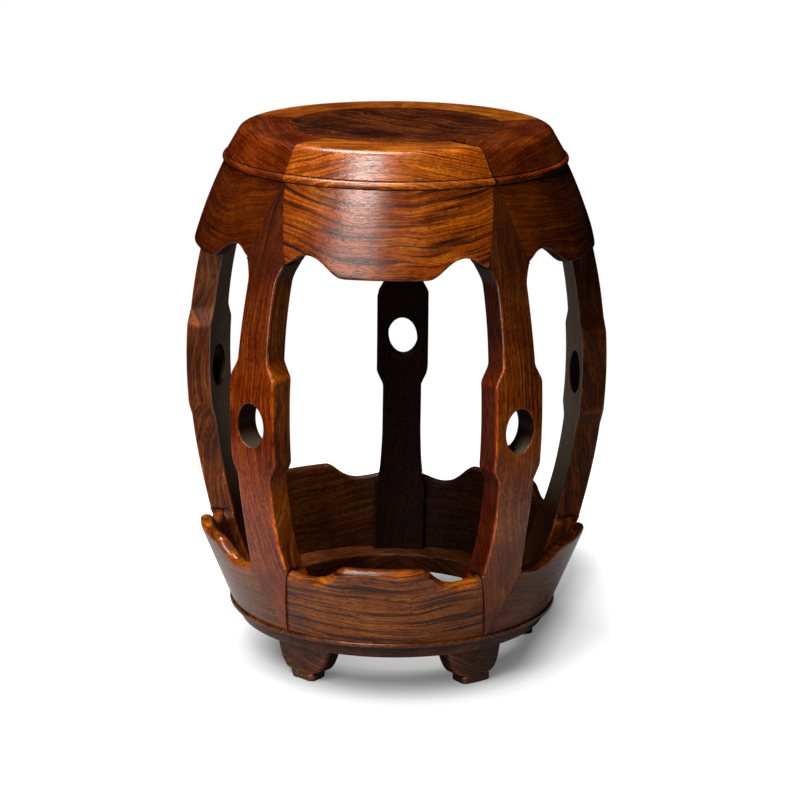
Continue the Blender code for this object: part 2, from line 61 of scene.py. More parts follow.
# Seat frame and panel
SEAT_TOP_Z = 0.475
SEAT_FRAME_THICKNESS = 0.0305
SEAT_FRAME_WIDTH = 0.0540
SHOULDER_ROUNDING = 0.009
SHOULDER_TILT = math.radians(60)
BEAD_ROUNDING = 0.0033
BEAD_RADIUS = 0.1478
BEAD_COVE = 0.0012
BEAD_START = math.radians(80)
GROOVE_DEPTH = 0.0005
PANEL_THICKNESS = 0.016
PANEL_TONGUE_LENGTH = 0.0072
PANEL_TONGUE_THICKNESS = 0.006
PANEL_EDGE = 0.0007

# The open joint over the front right post
OPEN_JOINT = 0.0018
JOINT_WOBBLE = 0.0004
JOINT_LUMPS = 0.010
JOINT_SKEW = math.radians(5.0)

# Base ring
RING_TOP_Z = 0.0485
RING_THICKNESS = 0.0155
RING_WIDTH = 0.0325
RING_BASE_RADIUS = 0.1375
RING_NECK_OUTSET = 0.0045
RING_LIP_OUTSET = 0.0095
RING_LIP_THICKNESS = 0.0044
RING_LIP_ROUNDING = 0.0016
RING_INNER_ROUNDING = 0.0025

# Posts
POST_THICKNESS = 0.0234
POST_WAIST_WIDTH = 0.0480
POST_UPPER_NECK_WIDTH = 0.0306
POST_UPPER_NECK_BASE_WIDTH = 0.0334
POST_LOWER_NECK_WIDTH = 0.0358
POST_LOWER_NECK_BASE_WIDTH = 0.0378
POST_BLOCK_WIDTH = 0.0476
POST_ARRIS = 0.0019
ARRIS_MARGIN = 0.0006
UPPER_STEP_ABOVE_BELLY = 0.039
UPPER_STEP_RISE = 0.016
LOWER_STEP_BELOW_BELLY = 0.048
LOWER_STEP_RISE = 0.016
FLARE_RISE = 0.018
SHOULDER_DROP = 0.005
HOLE_WIDTH = 0.028
HOLE_HEIGHT = 0.0385
HOLE_BELOW_BELLY = 0.009
HOLE_RIM = 0.0011
HOLE_FACE_SHARES = (0.35, 0.7)
HOLE_RIM_STEPS = 4
# How far the hand hole's tunnel takes painted shade, and painted light on its up-facing walls
TUNNEL_LIGHT_AND_SHADE = 0.9
HOLE_PATCH_SHARE = 0.8
HOLE_PATCH_HALF_HEIGHT = 0.0225

# Aprons
CORNER_HALF_ANGLE = math.radians(6.95)
UPPER_APEX_HALF_ANGLE = math.radians(0.5)
LOWER_APEX_HALF_ANGLE = math.radians(0.3)
APRON_THICKNESS = 0.012
UPPER_EDGE_ROUNDING = 0.0030
LOWER_EDGE_ROUNDING = 0.0078
BACK_EDGE_ROUNDING = 0.0030
UPPER_PLATEAU_DROP = 0.071
UPPER_ARCH_DROP = 0.0545
LOWER_PLATEAU_RISE = 0.074
LOWER_ARCH_RISE = 0.0585
LOWER_FACE_INSET = 0.0018
LOWER_FACE_SLOPE_SHARE = 0.41
# (share of the half length, share of the way from arch to plateau)
UPPER_EDGE_SHARES = (
    (0.0, 1.0), (0.38, 1.0), (0.44, 0.97), (0.50, 0.82), (0.56, 0.55), (0.62, 0.28),
    (0.68, 0.09), (0.76, 0.0), (0.84, 0.10), (0.92, 0.33), (1.0, 0.545),
)
LOWER_EDGE_SHARES = (
    (0.0, 1.0), (0.40, 1.0), (0.46, 0.86), (0.52, 0.53), (0.58, 0.24), (0.65, 0.05),
    (0.73, 0.0), (0.82, 0.06), (0.91, 0.19), (1.0, 0.324),
)
LOWER_LEFT_EDGE_SHARES = (
    (0.0, 1.0), (0.40, 1.0), (0.46, 0.88), (0.52, 0.60), (0.58, 0.36), (0.65, 0.20),
    (0.73, 0.14), (0.82, 0.17), (0.91, 0.23), (1.0, 0.324),
)

# Feet
FOOT_WIDTH = 0.061
FOOT_TOE_WIDTH = 0.030
FOOT_TOE_HEIGHT = 0.0070
FOOT_TOE_NOTCH = 0.0014
FOOT_INNER_INSET = 0.0230
FOOT_TOP_INSET = 0.0075
FOOT_TOE_INSET = 0.0055
FOOT_FACE_ROUNDING = 0.0045
FOOT_BACK_ROUNDING = 0.0015
FOOT_UNDER_ROUNDING = 0.0016
FOOT_WEAR_HEIGHT = 0.013
FOOT_WEAR_DEPTH = 0.0050
FOOT_TURNS = (math.radians(1.8), 0.0, 0.0, 0.0, math.radians(0.9))
# How much of the toe's wear is even, in lumps and in fibres, with the noises' scales
WEAR_EVEN = 0.6
WEAR_LUMPS = (0.5, 160.0)
WEAR_FIBRES = (0.3, 700.0)
# The wear's height and depth from the toe's inner side to its outer side
WEAR_HEIGHT_LEAN = (0.6, 0.8)
WEAR_DEPTH_LEAN = 0.3
WEAR_SHOWN = 1.6
# (share of the way in to the toe, share of the way up from the toe)
FOOT_SIDE_SHARES = (
    (0.0, 1.0), (0.08, 0.80), (0.21, 0.52), (0.40, 0.25), (0.66, 0.07), (1.0, 0.0),
)

# Edges that turn more than this at once are joints, and rounded ones are made brighter: partly wear,
# partly a painted highlight
SHARP_ANGLE = math.radians(38)
FULLY_WORN_AND_HIGHLIT_ANGLE = math.radians(14)
CREASE_ANGLE = math.radians(14)

# How finely the shown meshes are divided
SEGMENT_STEPS = 36
ARC_STEPS = 6
ARRIS_STEPS = 4
FLAT_STEPS = 4
TUNNEL_STEPS = 6
SIDE_SHARES = (0.33, 0.67)
MITRE_FACE_SHARE = 0.8
PANEL_SHARES = (0.1, 0.3, 0.5, 0.7, 0.9, 0.985)
GROOVE_WAY = (0.5, 0.7)
POST_LEVEL_STEP = 0.0025
FACE_COLUMNS = 12
APRON_STEPS = 96
APRON_ROWS = 20
APRON_BACK_ROWS = 21
RIM_STEPS = 7
FOOT_LEVELS = 26
FOOT_FEWEST_LEVELS = 3
FOOT_BACK_STEPS = 3

# The photograph's camera, fitted to the stool's outline
PICTURE_PIXELS = 800
FOCAL_PIXELS = 2888.0
SENSOR = 36.0
CAMERA_DISTANCE = 2.4919
CAMERA_HEIGHT = 0.8866
CAMERA_PITCH = math.radians(14.83)
CAMERA_YAW = math.radians(0.13)
CAMERA_ROLL = math.radians(0.53)
STOOL_TURN = math.radians(-2.58)

# Levels and radii that follow from the sizes
SEAT_UNDERSIDE_Z = SEAT_TOP_Z - SEAT_FRAME_THICKNESS
SEAT_HOLE_RADIUS = BEAD_RADIUS - SEAT_FRAME_WIDTH
RING_BOTTOM_Z = RING_TOP_Z - RING_THICKNESS
RING_INNER_RADIUS = RING_BASE_RADIUS - RING_WIDTH
RING_LIP_RADIUS = RING_BASE_RADIUS + RING_LIP_OUTSET
POST_TOP_Z = SEAT_UNDERSIDE_Z - HAIR
POST_BOTTOM_Z = RING_TOP_Z + HAIR
POST_TOP_RADIUS = BEAD_RADIUS + BEAD_ROUNDING - HEAD_INSET
POST_BOTTOM_RADIUS = RING_LIP_RADIUS - BASE_INSET


def blend(a, b, share):
    return a + (b - a) * share


BELLY_Z = blend(POST_BOTTOM_Z, POST_TOP_Z, BELLY_HEIGHT_SHARE)
UPPER_STEP_Z = BELLY_Z + UPPER_STEP_ABOVE_BELLY
LOWER_STEP_Z = BELLY_Z - LOWER_STEP_BELOW_BELLY
HOLE_Z = BELLY_Z - HOLE_BELOW_BELLY
AXIS_Y = sum(corner.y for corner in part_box("seat_panel")) / 2


# Shapes


def barrel_radius(z):
    """Radius of the bowed outside surface: two arcs that meet at the belly."""
    if z > BELLY_Z:
        half_height, drop = POST_TOP_Z - BELLY_Z, BELLY_RADIUS - POST_TOP_RADIUS
    else:
        half_height, drop = BELLY_Z - POST_BOTTOM_Z, BELLY_RADIUS - POST_BOTTOM_RADIUS
    bow = (half_height**2 + drop**2) / (2 * drop)
    return BELLY_RADIUS - bow + math.sqrt(bow**2 - (z - BELLY_Z) ** 2)


def lower_face_radius(z):
    """Radius of the cone that the lower aprons' faces follow."""
    return RING_LIP_RADIUS - LOWER_FACE_INSET + LOWER_FACE_SLOPE_SHARE * (z - RING_TOP_Z)


def smooth_through(knots, x):
    """A cubic through the (place, value) knots that never swings past them."""
    if x <= knots[0][0]:
        return knots[0][1]
    if x >= knots[-1][0]:
        return knots[-1][1]
    slopes = [(b[1] - a[1]) / (b[0] - a[0]) for a, b in zip(knots, knots[1:])]
    tangents = [0.0]
    for before, after in zip(slopes, slopes[1:]):
        level = before * after <= 0.0
        tangents.append(0.0 if level else 2.0 * before * after / (before + after))
    tangents.append(slopes[-1])
    i = max(n for n in range(len(slopes)) if knots[n][0] <= x)
    width = knots[i + 1][0] - knots[i][0]
    t = (x - knots[i][0]) / width
    start = knots[i][1] * (1 + 2 * t) * (1 - t) ** 2 + tangents[i] * width * t * (1 - t) ** 2
    end = knots[i + 1][1] * (3 - 2 * t) * t**2 - tangents[i + 1] * width * (1 - t) * t**2
    return start + end


def steps(start, end, count):
    """Evenly spaced values, both ends included."""
    return [blend(start, end, n / count) for n in range(count + 1)]


def arc(centre, radius, start, end, count=ARC_STEPS):
    """Points along a round stretch of a profile, angles in radians."""
    return [
        (centre[0] + radius * math.cos(angle), centre[1] + radius * math.sin(angle))
        for angle in steps(start, end, count)
    ]


def polar(radius, azimuth, z):
    """A point at this radius, turned from the front towards +X."""
    return Vector((radius * math.sin(azimuth), -radius * math.cos(azimuth), z))


def at_side(radius, side, z):
    """A point at this radius whose sideways place is measured straight across."""
    return Vector((side, -math.sqrt(radius**2 - side**2), z))


def bridge(bm, one, two):
    """Faces between two equal closed loops of points."""
    for n in range(len(one)):
        following = (n + 1) % len(one)
        bm.faces.new((one[n], one[following], two[following], two[n]))


def finished(bm):
    """The mesh of a closed body. Its rounded edges are marked to be made brighter, partly for wear and
    partly as a painted highlight: a sharp edge is a joint, which nothing rubs. Creases are marked below
    nought, for the painted shade in them."""
    bmesh.ops.recalc_face_normals(bm, faces=bm.faces)
    worn_and_highlit = []
    tunnel_light_and_shade = bm.verts.layers.float.get("tunnel_light_and_shade")
    for point in bm.verts:
        angles = [edge.calc_face_angle_signed(0.0) for edge in point.link_edges]
        share = 0.0 if max(map(abs, angles)) > SHARP_ANGLE else max(angles) / FULLY_WORN_AND_HIGHLIT_ANGLE
        if min(angles) < -CREASE_ANGLE:
            share = -1.0
        worn_and_highlit.append(share * (1.0 - point[tunnel_light_and_shade]) if tunnel_light_and_shade else share)
    mesh = bpy.data.meshes.new("piece")
    bm.to_mesh(mesh)
    bm.free()
    mesh.attributes.new("worn_and_highlit", "FLOAT", "POINT").data.foreach_set("value", worn_and_highlit)
    mesh.shade_smooth()
    mesh.set_sharp_from_angle(angle=SHARP_ANGLE)
    return mesh


def loft(sections, twisted_ends=False):
    """A closed mesh through equal loops of points, with both ends capped."""
    bm = bmesh.new()
    loops = [[bm.verts.new(point) for point in section] for section in sections]
    for one, two in zip(loops, loops[1:]):
        bridge(bm, one, two)
    for end in (loops[0], loops[-1]):
        if twisted_ends:
            for n in range(len(end) // 2 - 1):
                bm.faces.new((end[n], end[n + 1], end[-n - 2], end[-n - 1]))
        else:
            bm.faces.new(end)
    return finished(bm)


# Seat frame and panel


def panel_tongue_z():
    """Heights of the panel's tongue, under and over."""
    bottom = SEAT_TOP_Z - PANEL_THICKNESS
    return bottom, bottom + PANEL_TONGUE_THICKNESS


def seat_frame_profile():
    """From the panel's groove over the top, down the moulded edge and back under."""
    tongue_bottom, tongue_top = panel_tongue_z()
    groove_radius = SEAT_HOLE_RADIUS + PANEL_TONGUE_LENGTH + HAIR
    bead_z = SEAT_UNDERSIDE_Z + BEAD_ROUNDING
    bead = arc((BEAD_RADIUS, bead_z), BEAD_ROUNDING, BEAD_START, -math.pi / 2, 3 * ARC_STEPS)
    cove_z = bead_z + BEAD_ROUNDING + BEAD_COVE
    end_angle = math.pi / 2 - SHOULDER_TILT
    shoulder_z = SEAT_TOP_Z - SHOULDER_ROUNDING
    slope_rise = shoulder_z + SHOULDER_ROUNDING * math.sin(end_angle) - cove_z
    slope_run = slope_rise / math.tan(SHOULDER_TILT)
    shoulder_radius = BEAD_RADIUS - slope_run - SHOULDER_ROUNDING * math.cos(end_angle)
    centre = (shoulder_radius, shoulder_z)
    shoulder = arc(centre, SHOULDER_ROUNDING, math.pi / 2, end_angle, 2 * ARC_STEPS)
    slope_radius, slope_z = shoulder[-1]
    shares = steps(0, 1, FLAT_STEPS)
    slope = [(blend(slope_radius, BEAD_RADIUS, s), blend(slope_z, cove_z, s)) for s in shares]
    across, down = GROOVE_WAY
    bead_top_radius, bead_top_z = bead[0]
    groove = (
        blend(BEAD_RADIUS, bead_top_radius, across) - GROOVE_DEPTH,
        blend(cove_z, bead_top_z, down),
    )
    top = [(blend(SEAT_HOLE_RADIUS, shoulder_radius, s), SEAT_TOP_Z) for s in shares]
    return [
        (SEAT_HOLE_RADIUS, SEAT_UNDERSIDE_Z),
        (SEAT_HOLE_RADIUS, tongue_bottom - HAIR),
        (groove_radius, tongue_bottom - HAIR),
        (groove_radius, tongue_top + HAIR),
        (SEAT_HOLE_RADIUS, tongue_top + HAIR),
        *top,
        *shoulder[1:],
        *slope[1:],
        groove,
        *bead,
    ]


def joint_end(profile, azimuth, half_gap, seed):
    """A segment's end face: set back by half the joint. The open one is uneven and skewed."""
    towards_middle = -math.copysign(1, azimuth)
    section = []
    for radius, z in profile:
        back = half_gap
        skew = 0.0
        if half_gap > HAIR:
            outwards = 1.0 - (BEAD_RADIUS - radius) / SEAT_FRAME_WIDTH
            wobble = JOINT_WOBBLE * noise.noise(Vector((radius, z, seed)) / JOINT_LUMPS)
            back = blend(HAIR, half_gap + wobble, max(0.0, outwards) ** 4)
            skew = JOINT_SKEW * (outwards - 1.0)
        section.append(polar(radius, azimuth + skew + towards_middle * back / radius, z))
    return section


def seat_frame_segment(left_gap, right_gap, seed):
    profile = seat_frame_profile()
    azimuths = steps(-BAY / 2, BAY / 2, SEGMENT_STEPS)
    sections = [[polar(r, azimuth, z) for r, z in profile] for azimuth in azimuths[1:-1]]
    left = joint_end(profile, azimuths[0], left_gap / 2, seed)
    right = joint_end(profile, azimuths[-1], right_gap / 2, seed)
    return loft([left, *sections, right])


def seat_panel():
    """The round board that lies flush in the frame, tongued round its edge."""
    tongue_bottom, tongue_top = panel_tongue_z()
    edge = SEAT_HOLE_RADIUS - HAIR
    tongue_edge = SEAT_HOLE_RADIUS + PANEL_TONGUE_LENGTH
    inside = [(edge * share, SEAT_TOP_Z) for share in PANEL_SHARES]
    rim = arc((edge - PANEL_EDGE, SEAT_TOP_Z - PANEL_EDGE), PANEL_EDGE, math.pi / 2, 0.0, 2)
    tongue = [(edge, tongue_top), (tongue_edge, tongue_top), (tongue_edge, tongue_bottom)]
    azimuths = steps(0.0, math.tau, BAYS * SEGMENT_STEPS)[:-1]
    return loft([[polar(r, azimuth, z) for azimuth in azimuths] for r, z in inside + rim + tongue])


# Base ring


def ring_profile():
    """Up the inside, over the top, round the lip and down the sloping face."""
    inner_centre = (RING_INNER_RADIUS + RING_INNER_ROUNDING, RING_TOP_Z - RING_INNER_ROUNDING)
    inner = arc(inner_centre, RING_INNER_ROUNDING, math.pi, math.pi / 2)
    lip_radius = RING_LIP_RADIUS - RING_LIP_ROUNDING
    lip_bottom_z = RING_TOP_Z - RING_LIP_THICKNESS
    lip_top = arc((lip_radius, RING_TOP_Z - RING_LIP_ROUNDING), RING_LIP_ROUNDING, math.pi / 2, 0.0)
    under = (lip_radius, lip_bottom_z + RING_LIP_ROUNDING)
    lip_under = arc(under, RING_LIP_ROUNDING, 0.0, -math.pi / 2)
    neck = (RING_BASE_RADIUS + RING_NECK_OUTSET, lip_bottom_z)
    inner_foot = (RING_INNER_RADIUS, RING_BOTTOM_Z)
    outer_foot = (RING_BASE_RADIUS, RING_BOTTOM_Z)
    return [inner_foot, *inner, *lip_top, *lip_under, neck, outer_foot]


def ring_segment():
    play = HAIR / 2 / RING_BASE_RADIUS
    azimuths = steps(play - BAY / 2, BAY / 2 - play, SEGMENT_STEPS)
    return loft([[polar(r, azimuth, z) for r, z in ring_profile()] for azimuth in azimuths])


# Aprons


def upper_edge_z(share):
    drop = blend(UPPER_ARCH_DROP, UPPER_PLATEAU_DROP, smooth_through(UPPER_EDGE_SHARES, abs(share)))
    return SEAT_UNDERSIDE_Z - drop


def lower_edge_z(share):
    shares = LOWER_EDGE_SHARES if share > 0 else LOWER_LEFT_EDGE_SHARES
    rise = blend(LOWER_ARCH_RISE, LOWER_PLATEAU_RISE, smooth_through(shares, abs(share)))
    return RING_TOP_Z + rise


def mitre_angle(z):
    """Half the angle that a post's head or foot takes up between its two aprons."""
    if z > BELLY_Z:
        return mitre_line(z, POST_TOP_Z, UPPER_APEX_HALF_ANGLE, upper_edge_z(1))
    return mitre_line(z, POST_BOTTOM_Z, LOWER_APEX_HALF_ANGLE, lower_edge_z(1))


def mitre_line(z, joint_z, apex, corner_z):
    return blend(apex, CORNER_HALF_ANGLE, (z - joint_z) / (corner_z - joint_z))


def apron_section(share, face_radius, edge_z, joint_z, rounding):
    """The apron's upright section at this share of its half length."""
    towards_edge = math.copysign(1, edge_z(0) - joint_z)
    face_end = edge_z(share) - towards_edge * rounding
    back_end = edge_z(share) - towards_edge * BACK_EDGE_ROUNDING

    def point(depth, z):
        half_angle = BAY / 2 - mitre_angle(z) - HAIR / face_radius(z)
        return polar(face_radius(z) - depth, share * half_angle, z)

    face_rim = arc((rounding, 0.0), rounding, math.pi, math.pi / 2, RIM_STEPS)
    back_centre = APRON_THICKNESS - BACK_EDGE_ROUNDING
    back_rim = arc((back_centre, 0.0), BACK_EDGE_ROUNDING, math.pi / 2, 0.0)
    return [
        *(point(0, z) for z in steps(joint_z, face_end, APRON_ROWS)),
        *(point(depth, face_end + towards_edge * rise) for depth, rise in face_rim[1:]),
        *(point(depth, back_end + towards_edge * rise) for depth, rise in back_rim[:-1]),
        *(point(APRON_THICKNESS, z) for z in steps(back_end, joint_z, APRON_BACK_ROWS)),
    ]


def apron(*shape):
    sections = [apron_section(share, *shape) for share in steps(-1, 1, APRON_STEPS)]
    return loft(sections, twisted_ends=True)


def upper_apron():
    return apron(barrel_radius, upper_edge_z, POST_TOP_Z, UPPER_EDGE_ROUNDING)


def lower_apron():
    return apron(lower_face_radius, lower_edge_z, POST_BOTTOM_Z, LOWER_EDGE_ROUNDING)


# Posts


def post_outline():
    """(height, half width) knots from the base ring up to the seat frame."""
    lower_corner = lower_edge_z(1)
    upper_corner = upper_edge_z(1)
    lower_corner_half = barrel_radius(lower_corner) * math.sin(CORNER_HALF_ANGLE)
    upper_corner_half = barrel_radius(upper_corner) * math.sin(CORNER_HALF_ANGLE)
    return [
        (POST_BOTTOM_Z, POST_BLOCK_WIDTH / 2),
        (lower_corner - SHOULDER_DROP, POST_BLOCK_WIDTH / 2),
        (lower_corner, lower_corner_half),
        (lower_corner + FLARE_RISE, POST_LOWER_NECK_BASE_WIDTH / 2),
        (blend(lower_corner, LOWER_STEP_Z, 0.5), POST_LOWER_NECK_WIDTH / 2),
        (LOWER_STEP_Z - LOWER_STEP_RISE / 2, POST_LOWER_NECK_WIDTH / 2),
        (LOWER_STEP_Z, (POST_LOWER_NECK_WIDTH + POST_WAIST_WIDTH) / 4),
        (LOWER_STEP_Z + LOWER_STEP_RISE / 2, POST_WAIST_WIDTH / 2),
        (UPPER_STEP_Z - UPPER_STEP_RISE / 2, POST_WAIST_WIDTH / 2),
        (UPPER_STEP_Z, (POST_UPPER_NECK_BASE_WIDTH + POST_WAIST_WIDTH) / 4),
        (UPPER_STEP_Z + UPPER_STEP_RISE / 2, POST_UPPER_NECK_BASE_WIDTH / 2),
        (upper_corner - FLARE_RISE, POST_UPPER_NECK_WIDTH / 2),
        (upper_corner, upper_corner_half),
        (upper_corner + SHOULDER_DROP, POST_BLOCK_WIDTH / 2),
        (POST_TOP_Z, POST_BLOCK_WIDTH / 2),
    ]


def apron_back_depth(z):
    """How deep the aprons' backs lie behind the posts' faces."""
    face_radius = barrel_radius(z) if z > BELLY_Z else lower_face_radius(z)
    return barrel_radius(z) - face_radius + APRON_THICKNESS + HAIR


def post_side(z, half):
    """(across, radius) points from the face's edge round to the back's."""
    face = barrel_radius(z)
    back = face - POST_THICKNESS
    inset = POST_ARRIS + ARRIS_MARGIN
    if lower_edge_z(1) < z < upper_edge_z(1):
        centre = (half - POST_ARRIS, face - POST_ARRIS)
        front_arris = arc(centre, POST_ARRIS, math.pi / 2, 0.0, ARRIS_STEPS)
        front_arris = [(half - inset, face), *front_arris, (half, face - inset)]
        side = [(half, blend(face, back, share)) for share in SIDE_SHARES]
    else:
        narrow = math.sin(mitre_angle(z))
        behind = face - apron_back_depth(z)
        depths = [*steps(0.0, POST_ARRIS, ARRIS_STEPS), inset]
        front_arris = [((face - depth) * narrow, face - depth) for depth in depths]
        front_arris.insert(0, (front_arris[0][0] * MITRE_FACE_SHARE, face))
        side = [(behind * narrow, behind), (half, behind)]
    centre = (half - POST_ARRIS, back + POST_ARRIS)
    back_arris = arc(centre, POST_ARRIS, 0.0, -math.pi / 2, ARRIS_STEPS)
    back_arris = [(half, back + inset), *back_arris, (half - inset, back)]
    return [*front_arris, *side, *back_arris]


def post_section(z, half):
    """The post's horizontal section, from the middle of its face round to the right."""
    side = post_side(z, half)
    columns = steps(1.0, -1.0, FACE_COLUMNS)[1:-1]
    right = [at_side(radius, across, z) for across, radius in side]
    left = [at_side(radius, -across, z) for across, radius in reversed(side)]
    back = [at_side(side[-1][1], side[-1][0] * share, z) for share in columns]
    face = [at_side(side[0][1], -side[0][0] * share, z) for share in columns]
    return [*right, *back, *left, *face]


def post_levels(knots):
    """Heights of the sections, with rows exactly at the hand hole's patch."""
    stops = [z for z, _ in knots]
    stops += [HOLE_Z - HOLE_PATCH_HALF_HEIGHT, HOLE_Z + HOLE_PATCH_HALF_HEIGHT, BELLY_Z]
    stops += [lower_edge_z(1) + POST_ARRIS / 2, upper_edge_z(1) - POST_ARRIS / 2]
    stops.sort()
    levels = [stops[0]]
    for low, high in zip(stops, stops[1:]):
        levels += steps(low, high, max(1, round((high - low) / POST_LEVEL_STEP)))[1:]
    return levels


def hole_ring(around, share, grow, depth):
    """A loop round the hand hole: its share of the way in from the patch's edge."""
    ring = []
    for side, z in around:
        turn = math.atan2((z - HOLE_Z) / HOLE_HEIGHT, side / HOLE_WIDTH)
        rim_side = (HOLE_WIDTH / 2 + grow) * math.cos(turn)
        rim_z = HOLE_Z + (HOLE_HEIGHT / 2 + grow) * math.sin(turn)
        place_z = blend(z, rim_z, share)
        ring.append(at_side(barrel_radius(place_z) - depth, blend(side, rim_side, share), place_z))
    return ring


def hole_rings(around):
    """The loops from the patch on the face, round the rim, through the post and out behind."""
    inwards = [(share, HOLE_RIM, 0.0) for share in HOLE_FACE_SHARES]
    rim = [
        (1.0, HOLE_RIM * (1 - math.sin(angle)), HOLE_RIM * (1 - math.cos(angle)))
        for angle in steps(0.0, math.pi / 2, HOLE_RIM_STEPS)
    ]
    front = inwards + rim
    depths = steps(HOLE_RIM, POST_THICKNESS - HOLE_RIM, TUNNEL_STEPS)
    through = [(1.0, 0.0, depth) for depth in depths[1:-1]]
    behind = [(share, grow, POST_THICKNESS - depth) for share, grow, depth in reversed(front)]
    return [hole_ring(around, *place) for place in front + through + behind]


def post():
    knots = post_outline()
    levels = post_levels(knots)
    bm = bmesh.new()
    tunnel_light_and_shade = bm.verts.layers.float.new("tunnel_light_and_shade")
    sections = [post_section(z, smooth_through(knots, z)) for z in levels]
    loops = [[bm.verts.new(point) for point in section] for section in sections]
    round_count = len(loops[0])
    patch = round(FACE_COLUMNS * HOLE_PATCH_SHARE / 2)
    side_count = len(post_side(BELLY_Z, POST_WAIST_WIDTH / 2))
    back_middle = side_count + FACE_COLUMNS // 2 - 1
    face_middle = back_middle + side_count + FACE_COLUMNS - 1
    back_columns = [back_middle - n for n in range(-patch, patch + 1)]
    face_columns = [face_middle + n for n in range(-patch, patch + 1)]
    reach = HOLE_PATCH_HALF_HEIGHT + HAIR
    rows = [n for n, z in enumerate(levels) if abs(z - HOLE_Z) < reach]
    open_columns = {*back_columns[1:], *face_columns[:-1]}
    for row, (one, two) in enumerate(zip(loops, loops[1:])):
        for n in range(round_count):
            if row in rows[:-1] and n in open_columns:
                continue
            following = (n + 1) % round_count
            bm.faces.new((one[n], one[following], two[following], two[n]))
    bm.faces.new(loops[0])
    bm.faces.new(loops[-1])

    def boundary(columns):
        """The patch's edge points, from its lower left corner round."""
        return [
            *(loops[rows[0]][column] for column in columns[:-1]),
            *(loops[row][columns[-1]] for row in rows[:-1]),
            *(loops[rows[-1]][column] for column in reversed(columns[1:])),
            *(loops[row][columns[0]] for row in reversed(rows[1:])),
        ]

    front_edge = boundary(face_columns)
    around = [(point.co.x, point.co.z) for point in front_edge]
    rings = [[bm.verts.new(point) for point in ring] for ring in hole_rings(around)]
    # Marks the tunnel behind the rim for its painted shade and painted light
    for n, ring in enumerate(rings):
        behind_rim = min(n, len(rings) - 1 - n) - len(HOLE_FACE_SHARES)
        for point in ring:
            point[tunnel_light_and_shade] = TUNNEL_LIGHT_AND_SHADE * min(1.0, max(0.0, behind_rim / HOLE_RIM_STEPS))
    rings = [front_edge, *rings, boundary(back_columns)]
    for one, two in zip(rings, rings[1:]):
        bridge(bm, one, two)
    loose = [point for point in bm.verts if not point.link_faces]
    bmesh.ops.delete(bm, geom=loose, context="VERTS")
    return finished(bm)


# Feet


def foot_half_width(z):
    """Half the foot's width at this height: a swept side over a small toe."""
    toe = FOOT_TOE_WIDTH / 2
    waist = toe - FOOT_TOE_NOTCH
    if z >= FOOT_TOE_HEIGHT:
        knots = [(up, inward) for inward, up in reversed(FOOT_SIDE_SHARES)]
        up = (z - FOOT_TOE_HEIGHT) / (RING_BOTTOM_Z - FOOT_TOE_HEIGHT)
        return blend(FOOT_WIDTH / 2, waist, smooth_through(knots, up))
    return blend(toe, waist, max(0.0, 1.0 - (FOOT_TOE_HEIGHT - z) / FOOT_TOE_NOTCH))


def foot_face_radius(z):
    """The foot's face runs outwards a little towards its toe."""
    return RING_BASE_RADIUS - blend(FOOT_TOE_INSET, FOOT_TOP_INSET, z / RING_BOTTOM_Z)


def foot_section(z, inset, worn):
    """The foot's level section, rounded more at the face than at the back."""
    half = foot_half_width(z) - inset
    face = foot_face_radius(z) - inset
    back = RING_BASE_RADIUS - FOOT_INNER_INSET + inset
    centre = (half - FOOT_FACE_ROUNDING, face - FOOT_FACE_ROUNDING)
    corner = arc(centre, FOOT_FACE_ROUNDING, math.pi / 2, 0.0)
    centre = (half - FOOT_BACK_ROUNDING, back + FOOT_BACK_ROUNDING)
    back_corner = arc(centre, FOOT_BACK_ROUNDING, 0.0, -math.pi / 2, FOOT_BACK_STEPS)
    side = [(half, blend(corner[-1][1], back_corner[0][1], share)) for share in SIDE_SHARES]
    right = [*corner, *side, *back_corner]
    columns = steps(1.0, -1.0, FACE_COLUMNS)[1:-1]
    points = [
        *right,
        *((back_corner[-1][0] * share, back) for share in columns),
        *((-across, radius) for across, radius in reversed(right)),
        *((-corner[0][0] * share, face) for share in columns),
    ]
    section = [at_side(radius, across, z) for across, radius in points]
    if worn:
        section = [worn_point(point) for point in section]
    return section


def worn_point(point):
    """The point moved in where the toe's fibres have broken away, most at the floor."""
    share = wear_share(point)
    broken = WEAR_EVEN
    for depth, scale in (WEAR_LUMPS, WEAR_FIBRES):
        broken += depth * noise.noise(point * scale)
    middle = polar(RING_BASE_RADIUS - FOOT_INNER_INSET / 2, 0.0, point.z)
    inwards = (middle - point).normalized()
    return point + inwards * FOOT_WEAR_DEPTH * share * max(0.0, broken)


def wear_share(point):
    """How badly the toe is broken here: worst at the floor and on the outer side."""
    lean = 0.5 - point.x / FOOT_TOE_WIDTH
    low, more = WEAR_HEIGHT_LEAN
    height = FOOT_WEAR_HEIGHT * (low + more * lean)
    return max(0.0, 1.0 - point.z / height) * (WEAR_DEPTH_LEAN + lean)


def foot(worn=False):
    top = RING_BOTTOM_Z - HAIR
    centre = (FOOT_UNDER_ROUNDING, FOOT_UNDER_ROUNDING)
    under = arc(centre, FOOT_UNDER_ROUNDING, -math.pi / 2, -math.pi, ARRIS_STEPS)
    stops = [FOOT_UNDER_ROUNDING, FOOT_TOE_HEIGHT - FOOT_TOE_NOTCH, FOOT_TOE_HEIGHT, top]
    levels = [(z, inset) for inset, z in under]
    for low, high in zip(stops, stops[1:]):
        count = max(FOOT_FEWEST_LEVELS, round(FOOT_LEVELS * (high - low) / top))
        levels += [(z, 0.0) for z in steps(low, high, count)[1:]]
    mesh = loft([foot_section(z, inset, worn) for z, inset in levels])
    if worn:
        broken = [min(1.0, WEAR_SHOWN * wear_share(point.co)) for point in mesh.vertices]
        mesh.attributes.new("broken", "FLOAT", "POINT").data.foreach_set("value", broken)
    return mesh


# Materials


